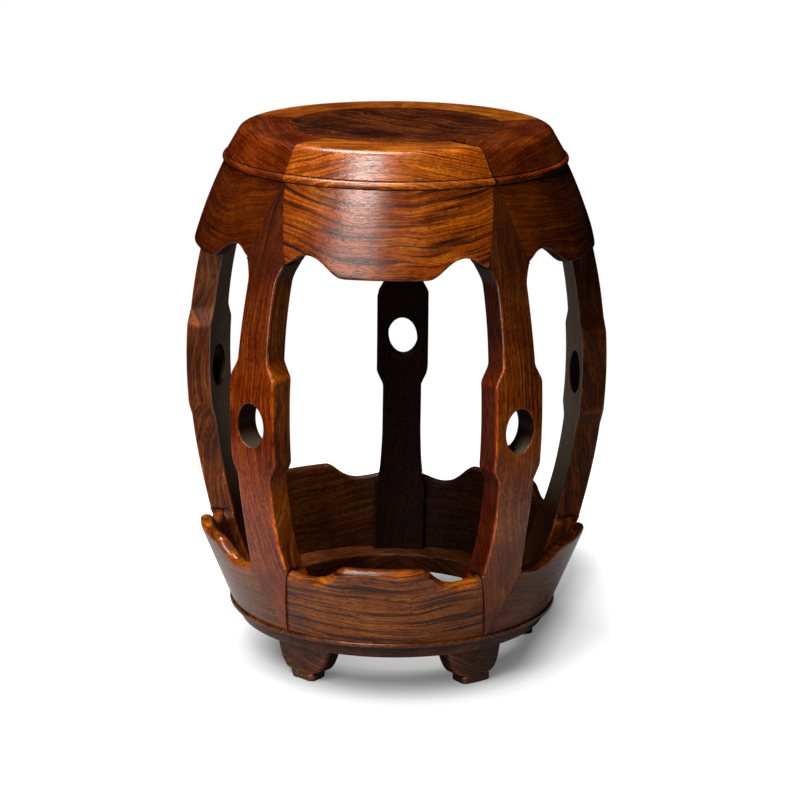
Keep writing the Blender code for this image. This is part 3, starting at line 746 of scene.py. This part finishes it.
def linear(hex_colour):
    """A screen colour, such as "#b5670f", as the linear value that shaders take."""
    channels = [int(hex_colour[n : n + 2], 16) / 255 for n in (1, 3, 5)]
    return (*(c / 12.92 if c <= 0.04045 else ((c + 0.055) / 1.055) ** 2.4 for c in channels), 1.0)


def new_material(name):
    material = bpy.data.materials.new(name)
    material.use_nodes = True
    material.node_tree.nodes.clear()
    return material, material.node_tree


def add(tree, kind, inputs, **settings):
    """Adds a shader node. An input takes a value, a socket, or a node for its first output."""
    made = tree.nodes.new("ShaderNode" + kind)
    for setting, value in settings.items():
        setattr(made, setting, value)
    for place, value in inputs.items():
        if isinstance(value, bpy.types.Node):
            value = value.outputs[0]
        if isinstance(value, bpy.types.NodeSocket):
            tree.links.new(value, made.inputs[place])
        else:
            made.inputs[place].default_value = value
    return made


def set_ramp(node, stops):
    """Gives a colour ramp its (place, hex colour) stops."""
    elements = node.color_ramp.elements
    while len(elements) < len(stops):
        elements.new(0.5)
    for element, (place, colour) in zip(elements, stops):
        element.position = place
        element.color = linear(colour)


# Noise scales per metre: fibres are some 10 mm long and under 1 mm wide, stripes 70 mm long
FIBRES_ALONG = 110.0
FIBRES_ACROSS = 1000.0
BEND_SCALE = 9.0
CLOUD_SCALE = 30.0
# Patterns on the layers: (changes along the fibres, changes across the layers, roughness)
BANDS = (9.0, 1.3, 0.5)
LINES = (3.5, 3.0, 0.6)
# Metres that the layers swing from straight, and the further metres in burr
LAYER_SWING = 0.030
BURR_SWING = 0.25
BURR_CLOSES_PORES = 2.5

# How far each pattern moves the ground along its ramp
TONE_START = -1.6
TONES = (("clouds", 1.4), ("lines", 1.7), ("streaks", 1.1))
PORE_STRENGTH = 0.7
END_GRAIN_STRENGTH = 0.7

# What each place adds to the wax's roughness, and how the polish varies of itself
DULLING = (("striped", 0.06), ("pores", 0.08), ("worn_and_highlit", -0.05), ("inside", 0.55), ("broken", 0.5))
BEST_POLISH = -0.03
WORST_POLISH = 0.08
PORES_TAKE_SHINE = -0.12
PORES_SINK = -0.3
SILK = 0.08

PORE_COLOUR = "#2c1004"
# Painted shade that darkens the posts' heads
HEAD_SHADE_COLOUR = "#120806"
# Painted shade inside the stool, in the hand holes and in creases; also the dark of end grain
PAINTED_SHADE_AND_END_GRAIN = "#080402"
# Painted shade in tight corners
CORNER_PAINTED_SHADE = "#120a06"
# Painted light, a grey sheen, on the hand holes' up-facing walls
TUNNEL_PAINTED_LIGHT = "#6b5d4f"
# Painted grey sheen on the side posts' inner faces: its dark and light streaks, and the painted shade
# near the base ring
INNER_SHEEN_STREAKS = ("#4e4036", "#9c8876")
INNER_SHADE_AT_FOOT = "#1a100a"
TORN_FIBRES = ((0.38, "#120802"), (0.5, "#3e2610"), (0.64, "#86643a"))
# How much brighter the edges grow: partly wear, partly a painted highlight
WORN_AND_HIGHLIT_BRIGHTER = (2.1, 1.85, 1.4, 1.0)

# Directions in a piece that stands in front of the axis
ALONG_X = (1.0, 0.0, 0.0)
ALONG_Z = (0.0, 0.0, 1.0)
EVERY_WAY = (0.85, 0.85, 0.85)
INWARDS = (0.0, 1.0, -0.7)


def growth_layers(tree, place, across_layers, fibres, layer_gap, burr):
    """The layers' slow bends, broad bands and fine lines."""
    swing = {"Vector": place, "Scale": BEND_SCALE, "Detail": 2.0, "Roughness": 0.45 + burr / 2}
    bend = add(tree, "TexNoise", swing)
    distance = add(tree, "VectorMath", {0: place, 1: across_layers}, operation="DOT_PRODUCT")
    bent = {0: bend, 1: LAYER_SWING + BURR_SWING * burr, 2: distance.outputs["Value"]}
    bent = add(tree, "Math", bent, operation="MULTIPLY_ADD")
    layer = add(tree, "Math", {0: bent, 1: layer_gap}, operation="DIVIDE")
    along = add(tree, "VectorMath", {0: place, 1: fibres}, operation="DOT_PRODUCT")
    grain = {"bend": bend}
    for pattern, (changes, scale, roughness) in (("bands", BANDS), ("lines", LINES)):
        far = add(tree, "Math", {0: along.outputs["Value"], 1: changes}, operation="MULTIPLY")
        layers = add(tree, "CombineXYZ", {"X": far, "Y": layer})
        look = {"Vector": layers, "Scale": scale, "Detail": 2.0, "Roughness": roughness}
        grain[pattern] = add(tree, "TexNoise", look, noise_dimensions="2D")
    return grain


def fine_grain(tree, place, fibres, burr):
    """Soft clouds, streaks along the fibres, and the open pores."""
    cloudy = {"Vector": place, "Scale": CLOUD_SCALE, "Detail": 5.0, "Roughness": 0.62}
    scale = [blend(FIBRES_ACROSS, FIBRES_ALONG, share) for share in fibres]
    stretched = add(tree, "VectorMath", {0: place, 1: scale}, operation="MULTIPLY")
    streaky = {"Vector": stretched, "Scale": 1.0, "Detail": 3.0, "Roughness": 0.7}
    specks = add(tree, "TexNoise", {"Vector": stretched, "Scale": 1.4, "Detail": 0.0})
    open_pores = 1.0 - BURR_CLOSES_PORES * burr
    return {
        "clouds": add(tree, "TexNoise", cloudy),
        "streaks": add(tree, "TexNoise", streaky),
        "pores": add(tree, "MapRange", {
            "Value": specks, "From Min": 0.58, "From Max": 0.70, "To Max": open_pores,
        }),
    }


def grain_colour(tree, grain, ground, stripe, strength):
    """The ground from its ramp, then stripes that are darkest in their middles, then pores."""
    tone = TONE_START
    for pattern, reach in TONES:
        tone = add(tree, "Math", {0: grain[pattern], 1: reach, 2: tone}, operation="MULTIPLY_ADD")
    ground_colour = add(tree, "ValToRGB", {"Fac": tone})
    set_ramp(ground_colour, ground)
    broad = add(tree, "MapRange", {"Value": grain["bands"], "From Min": 0.50, "From Max": 0.64})
    thin = {"Value": grain["lines"], "From Min": 0.40, "From Max": 0.60, "To Min": 0.4}
    striped = add(tree, "Math", {0: broad, 1: add(tree, "MapRange", thin)}, operation="MULTIPLY")
    striped = add(tree, "Math", {0: striped, 1: strength}, operation="MULTIPLY", use_clamp=True)
    pitted = add(tree, "Math", {0: grain["pores"], 1: PORE_STRENGTH}, operation="MULTIPLY")
    colour = ground_colour
    for cover, coat in ((striped, stripe), (pitted, PORE_COLOUR)):
        colour = add(tree, "MixRGB", {"Fac": cover, "Color1": colour, "Color2": linear(coat)})
    return colour, striped


def board_shade(tree, colour, height, facing, own, painted_head_shade):
    """Each board's tone, partly its own and partly painted shade; the side faces' tone, partly stain
    and partly painted light and shade; and painted shade on a tall piece's top.
    """
    shaded = {"Fac": 1.0, "Color1": colour, "Color2": own["shade"].outputs["Color"]}
    colour = add(tree, "MixRGB", shaded, blend_type="MULTIPLY")
    # The side faces' own tone: partly stain, partly painted light and shade
    sideways = add(tree, "Math", {0: facing["X"]}, operation="ABSOLUTE")
    sideways = add(tree, "MapRange", {"Value": sideways, "From Min": 0.55, "From Max": 0.9})
    stained = {"Fac": sideways, "Color1": colour, "Color2": own["side"].outputs["Color"]}
    colour = add(tree, "MixRGB", stained, blend_type="MULTIPLY")
    # Painted shade, darker towards a tall piece's top
    up = {"Value": height, "From Min": BELLY_Z, "From Max": upper_edge_z(1), "To Max": painted_head_shade}
    head_shade = add(tree, "MapRange", up)
    return add(tree, "MixRGB", {"Fac": head_shade, "Color1": colour, "Color2": linear(HEAD_SHADE_COLOUR)})


def painted_inner_sheen(tree, height, streaks):
    """A painted grey sheen on the side posts' inner faces, with painted shade where the base ring
    shades them.
    """
    dark, light = (linear(colour) for colour in INNER_SHEEN_STREAKS)
    streaked = add(tree, "MixRGB", {"Fac": streaks, "Color1": dark, "Color2": light})
    up = {"Value": height, "From Min": lower_edge_z(1), "From Max": LOWER_STEP_Z}
    fade = {"Fac": add(tree, "MapRange", up), "Color1": linear(INNER_SHADE_AT_FOOT), "Color2": streaked}
    return add(tree, "MixRGB", fade)


def wear_and_painted_light(tree, colour, grain, inner_sheen, marks, normal, height, facing, fibres, burr):
    """Edges made brighter, partly wear and partly a painted highlight; dark end grain; painted shade on
    faces turned inwards and down, in the hand holes, in creases and in tight corners; a painted grey
    sheen on the side posts' inner faces; painted light on the hand holes' up-facing walls; and the
    broken fibres of the worn toe."""
    # Edges made brighter: partly wear, partly a painted highlight
    hands = {"Value": grain["clouds"], "From Min": 0.42, "From Max": 0.64, "To Min": 0.1, "To Max": 0.8}
    touched = {0: add(tree, "MapRange", hands), 1: marks["worn_and_highlit"]}
    worn_and_highlit = add(tree, "Math", touched, operation="MULTIPLY", use_clamp=True)
    brighter = {"Fac": worn_and_highlit, "Color1": colour, "Color2": WORN_AND_HIGHLIT_BRIGHTER}
    colour = add(tree, "MixRGB", brighter, blend_type="MULTIPLY")

    turned = add(tree, "VectorMath", {0: normal, 1: fibres}, operation="DOT_PRODUCT").outputs["Value"]
    cut_across = {
        "Value": add(tree, "Math", {0: turned}, operation="ABSOLUTE"),
        "From Min": 0.6, "From Max": 0.95, "To Max": END_GRAIN_STRENGTH * (1.0 - burr),
    }
    creases = {"Value": marks["worn_and_highlit"], "From Min": -0.1, "From Max": -0.8, "To Max": 0.8}
    # End grain's own dark, joined by painted shade in the hand holes' tunnels and in creases
    shade_and_end_grain = add(tree, "MapRange", cut_across)
    for more in (marks["tunnel_light_and_shade"], add(tree, "MapRange", creases)):
        shade_and_end_grain = add(tree, "Math", {0: shade_and_end_grain, 1: more}, operation="MAXIMUM")

    # Painted shade on faces that turn inwards and down, into the stool's shaded inside
    inwards = add(tree, "VectorMath", {0: normal, 1: INWARDS}, operation="DOT_PRODUCT").outputs["Value"]
    inside = add(tree, "MapRange", {"Value": inwards, "From Min": -0.7, "From Max": 0.6, "To Max": 0.6})
    # The side posts' inner faces take a painted grey sheen
    inner = add(tree, "MapRange", {"Value": inwards, "From Min": 0.45, "From Max": 0.8})
    sheen_cover = add(tree, "Math", {0: inner, 1: inner_sheen}, operation="MULTIPLY")

    # Painted light, grey, on the hand holes' up-facing walls
    level = {"Value": facing["Z"], "From Min": 0.25, "From Max": 1.0, "To Max": 0.8}
    level = add(tree, "MapRange", level)
    tunnel = {0: marks["tunnel_light_and_shade"], 1: inner_sheen}
    tunnel = add(tree, "Math", tunnel, operation="SUBTRACT", use_clamp=True)
    lit_tunnel_walls = add(tree, "Math", {0: level, 1: tunnel}, operation="MULTIPLY")

    # Painted shade in tight corners, from ambient occlusion
    near = add(tree, "AmbientOcclusion", {"Distance": 0.010}, samples=6).outputs["AO"]
    tight = {"Value": near, "From Min": 0.15, "From Max": 0.75, "To Min": 0.75, "To Max": 0.0}
    torn = add(tree, "ValToRGB", {"Fac": grain["streaks"]})
    set_ramp(torn, TORN_FIBRES)
    coats = (
        (inside, linear(PAINTED_SHADE_AND_END_GRAIN)),
        (sheen_cover, painted_inner_sheen(tree, height, grain["streaks"])),
        (shade_and_end_grain, linear(PAINTED_SHADE_AND_END_GRAIN)),
        (lit_tunnel_walls, linear(TUNNEL_PAINTED_LIGHT)),
        (add(tree, "MapRange", tight), linear(CORNER_PAINTED_SHADE)),
        (marks["broken"], torn),
    )
    for cover, coat in coats:
        colour = add(tree, "MixRGB", {"Fac": cover, "Color1": colour, "Color2": coat})
    return colour, {"worn_and_highlit": worn_and_highlit, "inside": inside, "broken": marks["broken"]}


def waxed(tree, colour, grain, places, polish):
    """Uneven wax, duller in the pores and on the stripes, best on the worn edges and poor inside. Under
    it the fibres have a silky glow of their own, in the wood's colour."""
    dull = add(tree, "MapRange", {
        "Value": grain["clouds"], "From Min": 0.3, "From Max": 0.7,
        "To Min": polish + BEST_POLISH, "To Max": polish + WORST_POLISH,
    })
    for place, change in DULLING:
        dull = add(tree, "Math", {0: places[place], 1: change, 2: dull}, operation="MULTIPLY_ADD")
    open_side = {"Value": places["inside"], "From Max": 0.6, "To Min": 0.45, "To Max": 0.05}
    shine = {0: grain["pores"], 1: PORES_TAKE_SHINE, 2: add(tree, "MapRange", open_side)}
    shine = add(tree, "Math", shine, operation="MULTIPLY_ADD", use_clamp=True)
    relief = {0: grain["pores"], 1: PORES_SINK, 2: grain["streaks"]}
    relief = add(tree, "Math", relief, operation="MULTIPLY_ADD")
    fine = add(tree, "Bump", {"Strength": 0.35, "Distance": 0.00025, "Height": relief})
    bent = {"Strength": 0.5, "Distance": 0.003, "Height": grain["bend"], "Normal": fine}
    waves = add(tree, "Bump", bent)
    polished = add(tree, "BsdfPrincipled", {
        "Base Color": colour, "Roughness": dull, "Normal": waves, "IOR": 1.5,
        "Specular IOR Level": shine,
    })
    dimmed = {"Fac": 1.0, "Color1": colour, "Color2": (SILK, SILK, SILK, 1.0)}
    silk_colour = add(tree, "MixRGB", dimmed, blend_type="MULTIPLY")
    silk = add(tree, "BsdfAnisotropic", {"Color": silk_colour, "Roughness": 0.45, "Normal": waves})
    return add(tree, "AddShader", {0: polished, 1: silk})


def wood(
    name, ground, stripe, across_layers, fibres,
    layer_gap=0.0045, polish=0.20, burr=0.0, painted_head_shade=0.0,
):
    """Old hardwood, planed, stained and waxed.

    The eye reads, from far to near: a warm ground, darker stripes that fade in and out where the growth
    layers come out, streaks and pores along the fibres, edges made brighter by wear and a painted
    highlight, dark end grain, and painted shade in the corners and inside.
    across_layers points across the growth layers, fibres along the fibres. The last setting is how much
    painted shade darkens the top of a tall piece against its foot.
    """
    material, tree = new_material(name)
    coordinates = add(tree, "TexCoord", {})
    own = {
        look: add(tree, "Attribute", {}, attribute_type="OBJECT", attribute_name=look)
        for look in ("board", "shade", "stripes", "side", "inner_sheen")
    }
    marks = {
        mark: add(tree, "Attribute", {}, attribute_name=mark).outputs["Fac"]
        for mark in ("worn_and_highlit", "tunnel_light_and_shade", "broken")
    }
    moved = {0: coordinates.outputs["Object"], 1: own["board"].outputs["Vector"]}
    place = add(tree, "VectorMath", moved, operation="ADD")
    grain = growth_layers(tree, place, across_layers, fibres, layer_gap, burr)
    grain.update(fine_grain(tree, place, fibres, burr))
    strength = own["stripes"].outputs["Fac"]
    colour, striped = grain_colour(tree, grain, ground, stripe, strength)
    height = add(tree, "SeparateXYZ", {0: coordinates.outputs["Object"]}).outputs["Z"]
    normal = coordinates.outputs["Normal"]
    facing = add(tree, "SeparateXYZ", {0: normal}).outputs
    colour = board_shade(tree, colour, height, facing, own, painted_head_shade)
    inner_sheen = own["inner_sheen"].outputs["Fac"]
    placed = (normal, height, facing, fibres, burr)
    colour, wear = wear_and_painted_light(tree, colour, grain, inner_sheen, marks, *placed)
    places = {**wear, "striped": striped, "pores": grain["pores"]}
    add(tree, "OutputMaterial", {"Surface": waxed(tree, colour, grain, places, polish)})
    return material


# Golden brown ground with purple-brown stripes: the seat frame and the aprons
GOLDEN = ((0.0, "#5a2204"), (0.30, "#8c3c04"), (0.65, "#ae5406"), (1.0, "#c87414"))
GOLDEN_STRIPE = "#2e1206"
# Straighter, redder wood: the posts, the base ring and what is hidden
RED_BROWN = ((0.0, "#4a1804"), (0.35, "#7a2e05"), (0.65, "#964008"), (1.0, "#b05c18"))
RED_BROWN_STRIPE = "#2c1006"
# Dark brown: the panel's burr, and the feet
DARK = ((0.0, "#180602"), (0.35, "#3c1605"), (0.65, "#5c2808"), (1.0, "#844416"))
DARK_STRIPE = "#140603"

# Close stripes that run out at a slant over the frame's moulded edge
frame_wood = wood(
    "waxed_striped_hardwood_frame", GOLDEN, GOLDEN_STRIPE, (0.0, -0.7, -0.7), ALONG_X,
    layer_gap=0.0032,
)
# Wide level stripes, as the layers leave the bulging faces of the upper aprons
upper_wood = wood(
    "waxed_striped_hardwood_apron", GOLDEN, GOLDEN_STRIPE, (0.0, -0.37, 0.93), ALONG_X
)
# The same wood cut a little straighter, for the lower aprons
lower_wood = wood(
    "waxed_striped_hardwood_skirt", GOLDEN, GOLDEN_STRIPE, (0.0, -0.2, 0.98), ALONG_X
)
# Upright fine lines, darker towards the post's head by painted shade
post_wood = wood(
    "waxed_straight_hardwood", RED_BROWN, RED_BROWN_STRIPE, (0.9, -0.45, 0.05), ALONG_Z,
    painted_head_shade=0.75,
)
# Level lines under thin wax, which shoes have dulled
ring_wood = wood(
    "worn_straight_hardwood", RED_BROWN, RED_BROWN_STRIPE, (0.0, -0.7, 0.7), ALONG_X,
    polish=0.30,
)
# Nearly matt dark wood, which the floor's damp has stained
foot_wood = wood("worn_dark_hardwood", DARK, DARK_STRIPE, (0.3, -0.3, 0.9), ALONG_X, polish=0.42)
# Wild wavy figure with closed pores
panel_wood = wood(
    "waxed_burr_hardwood", DARK, DARK_STRIPE, (0.5, 0.8, 0.2), EVERY_WAY,
    layer_gap=0.011, burr=0.3,
)
# Unpolished joinery that hardly shows
hidden_wood = wood(
    "plain_inner_hardwood", RED_BROWN, RED_BROWN_STRIPE, (0.0, 0.5, 0.5), ALONG_X, polish=0.6,
)


# Pieces

EVEN = (1.0, 1.0, 1.0)
PLAIN_STRIPES = 0.5
FAINT_STRIPES = 0.3
# How far apart in the wood two boards with following numbers are cut
BOARD_MOVES = (1.7, 0.9, 0.13)


def give_look(piece, board, shade=EVEN, stripes=PLAIN_STRIPES, side=EVEN, inner_sheen=0.0):
    """What the wood reads from each piece: its place in the wood, its tone with any painted shade, its
    stripes, its sides' stain with painted light and shade, and the share of painted grey sheen on its
    inner faces.
    """
    piece["board"] = [move * board for move in BOARD_MOVES]
    piece["shade"] = list(shade)
    piece["stripes"] = stripes
    piece["side"] = list(side)
    piece["inner_sheen"] = inner_sheen


def show(node, mesh, material, slot, azimuth, board, *look):
    """The shown piece that stands for a CAD node."""
    mesh.materials.clear()
    mesh.materials.append(material)
    piece = bpy.data.objects.new("polished_" + node, mesh)
    piece.location.y = AXIS_Y
    piece.rotation_euler.z = azimuth
    give_look(piece, board, *look)
    bpy.context.scene.collection.objects.link(piece)
    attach(piece, "root")
    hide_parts(node)


def show_set(name, mesh, material, slot, first_azimuth, first_board, *looks):
    """The same piece in all five bays. Each of the looks has a value for each bay."""
    for n, look in enumerate(zip(*looks)):
        azimuth = first_azimuth + n * BAY
        show(f"{name}_{n + 1}", mesh, material, slot, azimuth, first_board + n, *look)


# Shades of the boards from the front towards +X: front, right, rear right, rear left, left. They are
# partly the boards' own tones and partly painted shade on the pieces that face away from the lamps and
# inside the stool.
FRAME_SHADES = (
    (0.80, 0.82, 0.8), (0.25, 0.17, 0.13), (0.72, 0.80, 0.6), (0.66, 0.64, 0.5), (0.30, 0.20, 0.15),
)
UPPER_SHADES = (
    (0.60, 0.54, 0.45), (0.24, 0.21, 0.15), (0.4, 0.3, 0.25), (0.4, 0.3, 0.25), (0.18, 0.125, 0.12),
)
LOWER_SHADES = (
    (0.55, 0.60, 0.75), (0.40, 0.38, 0.42), (0.11, 0.10, 0.08), (0.3, 0.34, 0.4), (0.50, 0.54, 0.6),
)
FRAME_STRIPES = (0.8, 0.6, 0.6, 0.6, 0.6)
UPPER_STRIPES = (1.1, 0.5, 0.4, 0.4, 0.3)
LOWER_STRIPES = (1.2, 0.5, 0.7, 0.7, 0.3)
# Posts: front right, right, rear, left, front left. The rear post's dark is painted shade, the side
# faces' tones are partly stain and partly painted light and shade, and the side posts' inner faces show
# a painted grey sheen.
POST_SHADES = (
    (0.75, 0.86, 0.58), (0.52, 0.70, 0.7), (0.08, 0.08, 0.07), (0.72, 0.90, 0.85),
    (0.77, 0.63, 0.38),
)
POST_STRIPES = (0.5, 0.5, 0.4, 0.5, 0.3)
POST_SIDE_STAIN_AND_LIGHT = ((0.50, 0.27, 0.2), (1.0, 0.9, 0.7), EVEN, EVEN, (1.6, 2.5, 2.4))
POST_INNER_SHEEN = (0.0, 0.95, 0.0, 0.75, 0.0)
RING_SHADES = ((0.36, 0.50, 0.9),) * BAYS
RING_STRIPES = (FAINT_STRIPES,) * BAYS
PANEL_SHADE = (1.02, 0.9, 0.6)
FOOT_SHADES = ((0.55, 0.55, 0.5),) * (BAYS - 1) + ((0.85, 0.8, 0.7),)

# The numbers after the azimuths set the boards apart in the wood. The joint on a segment's
# left is the one on the right of the segment before
JOINT_GAPS = (OPEN_JOINT, HAIR, HAIR, HAIR, HAIR)
for n in range(BAYS):
    segment = seat_frame_segment(JOINT_GAPS[n - 1], JOINT_GAPS[n], n)
    look = (n * BAY, n, FRAME_SHADES[n], FRAME_STRIPES[n])
    show(f"seat_frame_{n + 1}", segment, frame_wood, "seat_frame_hardwood", *look)
show("seat_panel", seat_panel(), panel_wood, "burl_hardwood", 0.0, 11, PANEL_SHADE)
apron_look = (upper_wood, "apron_hardwood", 0.0, 20, UPPER_SHADES, UPPER_STRIPES)
show_set("upper_apron", upper_apron(), *apron_look)
apron_look = (lower_wood, "apron_hardwood", 0.0, 30, LOWER_SHADES, LOWER_STRIPES)
show_set("lower_apron", lower_apron(), *apron_look)
post_look = (BAY / 2, 40, POST_SHADES, POST_STRIPES, POST_SIDE_STAIN_AND_LIGHT, POST_INNER_SHEEN)
show_set("post", post(), post_wood, "post_hardwood", *post_look)
ring_look = (ring_wood, "ring_hardwood", 0.0, 50, RING_SHADES, RING_STRIPES)
show_set("base_ring", ring_segment(), *ring_look)
for n in range(BAYS):
    azimuth = BAY / 2 + n * BAY + FOOT_TURNS[n]
    shape = foot(worn=n == BAYS - 1)
    show(f"foot_{n + 1}", shape, foot_wood, "foot_hardwood", azimuth, 60 + n, FOOT_SHADES[n])
for name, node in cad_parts.items():
    if "key" in name or "batten" in name:
        node.data.materials.clear()
        node.data.materials.append(hidden_wood)
        give_look(node, 0, stripes=FAINT_STRIPES)


# Studio


def studio_floor():
    """White paper: the camera sees its glow, pure white but for a painted soft shadow and painted light
    near the base, over the lamps' own shadow on the paper.

    Away from the stool the paper's own colour turns dark, a painted shade, so that the polish further
    up doesn't mirror it.
    """
    material, tree = new_material("white_studio_paper")
    place = add(tree, "TexCoord", {}).outputs["Object"]
    # The glow that the camera sees holds a painted shadow round the base and painted light inside the
    # ring
    from_middle = add(tree, "VectorMath", {0: place, 1: SHADOW_MIDDLE}, operation="SUBTRACT")
    along = add(tree, "VectorMath", {0: from_middle, 1: SHADOW_WAY}, operation="DOT_PRODUCT")
    cast = {"Value": along.outputs["Value"], "Min": 0.0, "Max": SHADOW_LENGTH}
    line = {0: SHADOW_WAY, "Scale": add(tree, "Clamp", cast)}
    nearest = {0: from_middle, 1: add(tree, "VectorMath", line, operation="SCALE")}
    reach = add(tree, "VectorMath", nearest, operation="DISTANCE").outputs["Value"]
    share = add(tree, "Math", {0: reach, 1: ALL_WHITE}, operation="DIVIDE")
    painted_shadow = add(tree, "ValToRGB", {"Fac": share})
    set_ramp(painted_shadow, SHADOW_FADE)
    from_axis = add(tree, "VectorMath", {0: place}, operation="LENGTH").outputs["Value"]
    lift = {"From Min": RING_SHADOW_START, "From Max": RING_SHADOW_END, "To Max": PAINTED_LIGHT_INSIDE}
    inside = {"Value": from_axis, **lift}
    inside = add(tree, "MapRange", inside, interpolation_type="SMOOTHSTEP")
    glow = add(tree, "Math", {0: painted_shadow, 1: inside}, operation="ADD")
    edge = add(tree, "MapRange", {"Value": from_axis, "From Min": PAPER_SHADE_START, "From Max": PAPER_SHADE_END})
    near, far = (linear(colour) for colour in PAPER_COLOURS)
    shaded_paper = add(tree, "MixRGB", {"Fac": edge, "Color1": near, "Color2": far})
    paper = add(tree, "BsdfDiffuse", {"Color": shaded_paper})
    looked_at = add(tree, "LightPath", {}).outputs["Is Camera Ray"]
    seen = add(tree, "Math", {0: glow, 1: looked_at}, operation="MULTIPLY")
    both = add(tree, "AddShader", {0: paper, 1: add(tree, "Emission", {"Strength": seen})})
    add(tree, "OutputMaterial", {"Surface": both})
    bm = bmesh.new()
    bmesh.ops.create_grid(bm, x_segments=1, y_segments=1, size=FLOOR_SIZE / 2)
    mesh = bpy.data.meshes.new("studio_floor")
    bm.to_mesh(mesh)
    bm.free()
    mesh.materials.append(material)
    floor = bpy.data.objects.new("studio_floor", mesh)
    floor.location.y = AXIS_Y
    bpy.context.scene.collection.objects.link(floor)


def softbox(name, azimuth, elevation, distance, width, height, power):
    """An area lamp this far from the stool's middle, facing it. Its angles are in degrees."""
    lamp = bpy.data.lights.new(name, "AREA")
    lamp.shape = "RECTANGLE"
    lamp.size = width
    lamp.size_y = height
    lamp.energy = power
    light = bpy.data.objects.new(name, lamp)
    raised = math.radians(elevation)
    direction = polar(math.cos(raised), math.radians(azimuth), math.sin(raised))
    light.location = STOOL_MIDDLE + distance * direction
    light.rotation_euler = direction.to_track_quat("Z", "Y").to_euler()
    bpy.context.scene.collection.objects.link(light)


def photo_camera():
    """The camera that took the photograph, in the stool's own frame."""
    forward = Vector((
        math.sin(CAMERA_YAW) * math.cos(CAMERA_PITCH),
        math.cos(CAMERA_YAW) * math.cos(CAMERA_PITCH),
        -math.sin(CAMERA_PITCH),
    ))
    level = Vector((math.cos(CAMERA_YAW), -math.sin(CAMERA_YAW), 0.0))
    raised = level.cross(forward)
    right = level * math.cos(CAMERA_ROLL) + raised * math.sin(CAMERA_ROLL)
    up = raised * math.cos(CAMERA_ROLL) - level * math.sin(CAMERA_ROLL)
    axes = Matrix((right, up, -forward)).transposed().to_4x4()
    eye = Matrix.Translation((0.0, -CAMERA_DISTANCE, CAMERA_HEIGHT))
    turn = Matrix.Rotation(-STOOL_TURN, 4, "Z")
    lens = bpy.data.cameras.new("photo_camera")
    lens.sensor_width = SENSOR
    lens.lens = SENSOR * FOCAL_PIXELS / PICTURE_PIXELS
    camera = bpy.data.objects.new("photo_camera", lens)
    camera.matrix_world = Matrix.Translation((0.0, AXIS_Y, 0.0)) @ turn @ eye @ axes
    bpy.context.scene.collection.objects.link(camera)
    bpy.context.scene.camera = camera


FLOOR_SIZE = 16.0
STOOL_MIDDLE = Vector((0.0, 0.0, 0.25))
# The painted shadow in the paper's glow lies round a line from under the stool to behind it, and fades
# over ALL_WHITE
SHADOW_MIDDLE = (0.010, -0.018, 0.0)
SHADOW_WAY = (math.sin(math.radians(11.2)), math.cos(math.radians(11.2)), 0.0)
SHADOW_LENGTH = 0.25
ALL_WHITE = 0.22
SHADOW_FADE = (
    (0.432, "#6a6a6a"), (0.50, "#707070"), (0.568, "#a8a8a8"), (0.636, "#d0d0d0"),
    (0.705, "#e3e3e3"), (0.795, "#f2f2f2"), (1.0, "#ffffff"),
)
# Painted light in the paper's glow, on the floor inside the base ring
RING_SHADOW_START = 0.105
RING_SHADOW_END = 0.075
PAINTED_LIGHT_INSIDE = 0.22
# Where the paper's own colour darkens away from the stool: a painted shade that the polish mirrors
PAPER_SHADE_START = 0.40
PAPER_SHADE_END = 0.80
PAPER_COLOURS = ("#a8a8a8", "#101010")
studio_floor()

# Each lamp makes a highlight: on the frame's slope, on the aprons' faces, low on the left, and
# over the seat and the rims from the left
softbox("key_softbox", -21.5, 47, distance=2.2, width=0.62, height=0.9, power=33.0)
softbox("apron_softbox", -22.5, 24, distance=2.3, width=1.15, height=0.7, power=12.5)
softbox("low_fill", -19, 6, distance=2.4, width=1.2, height=0.5, power=14.0)
softbox("top_softbox", -110, 77, distance=2.2, width=0.9, height=0.9, power=66.0)
photo_camera()

# The room is nearly dark for the stool, and white where the camera sees it
ROOM_GLOW = 0.005
world = bpy.data.worlds.new("studio_room")
world.use_nodes = True
backdrop = world.node_tree.nodes["Background"]
backdrop.inputs["Color"].default_value = linear("#ffffff")
looked_at = add(world.node_tree, "LightPath", {}).outputs["Is Camera Ray"]
white_behind = add(world.node_tree, "Math", {0: looked_at, 1: ROOM_GLOW}, operation="ADD")
world.node_tree.links.new(white_behind.outputs[0], backdrop.inputs["Strength"])
bpy.context.scene.world = world
bpy.context.scene.view_settings.view_transform = "Standard"
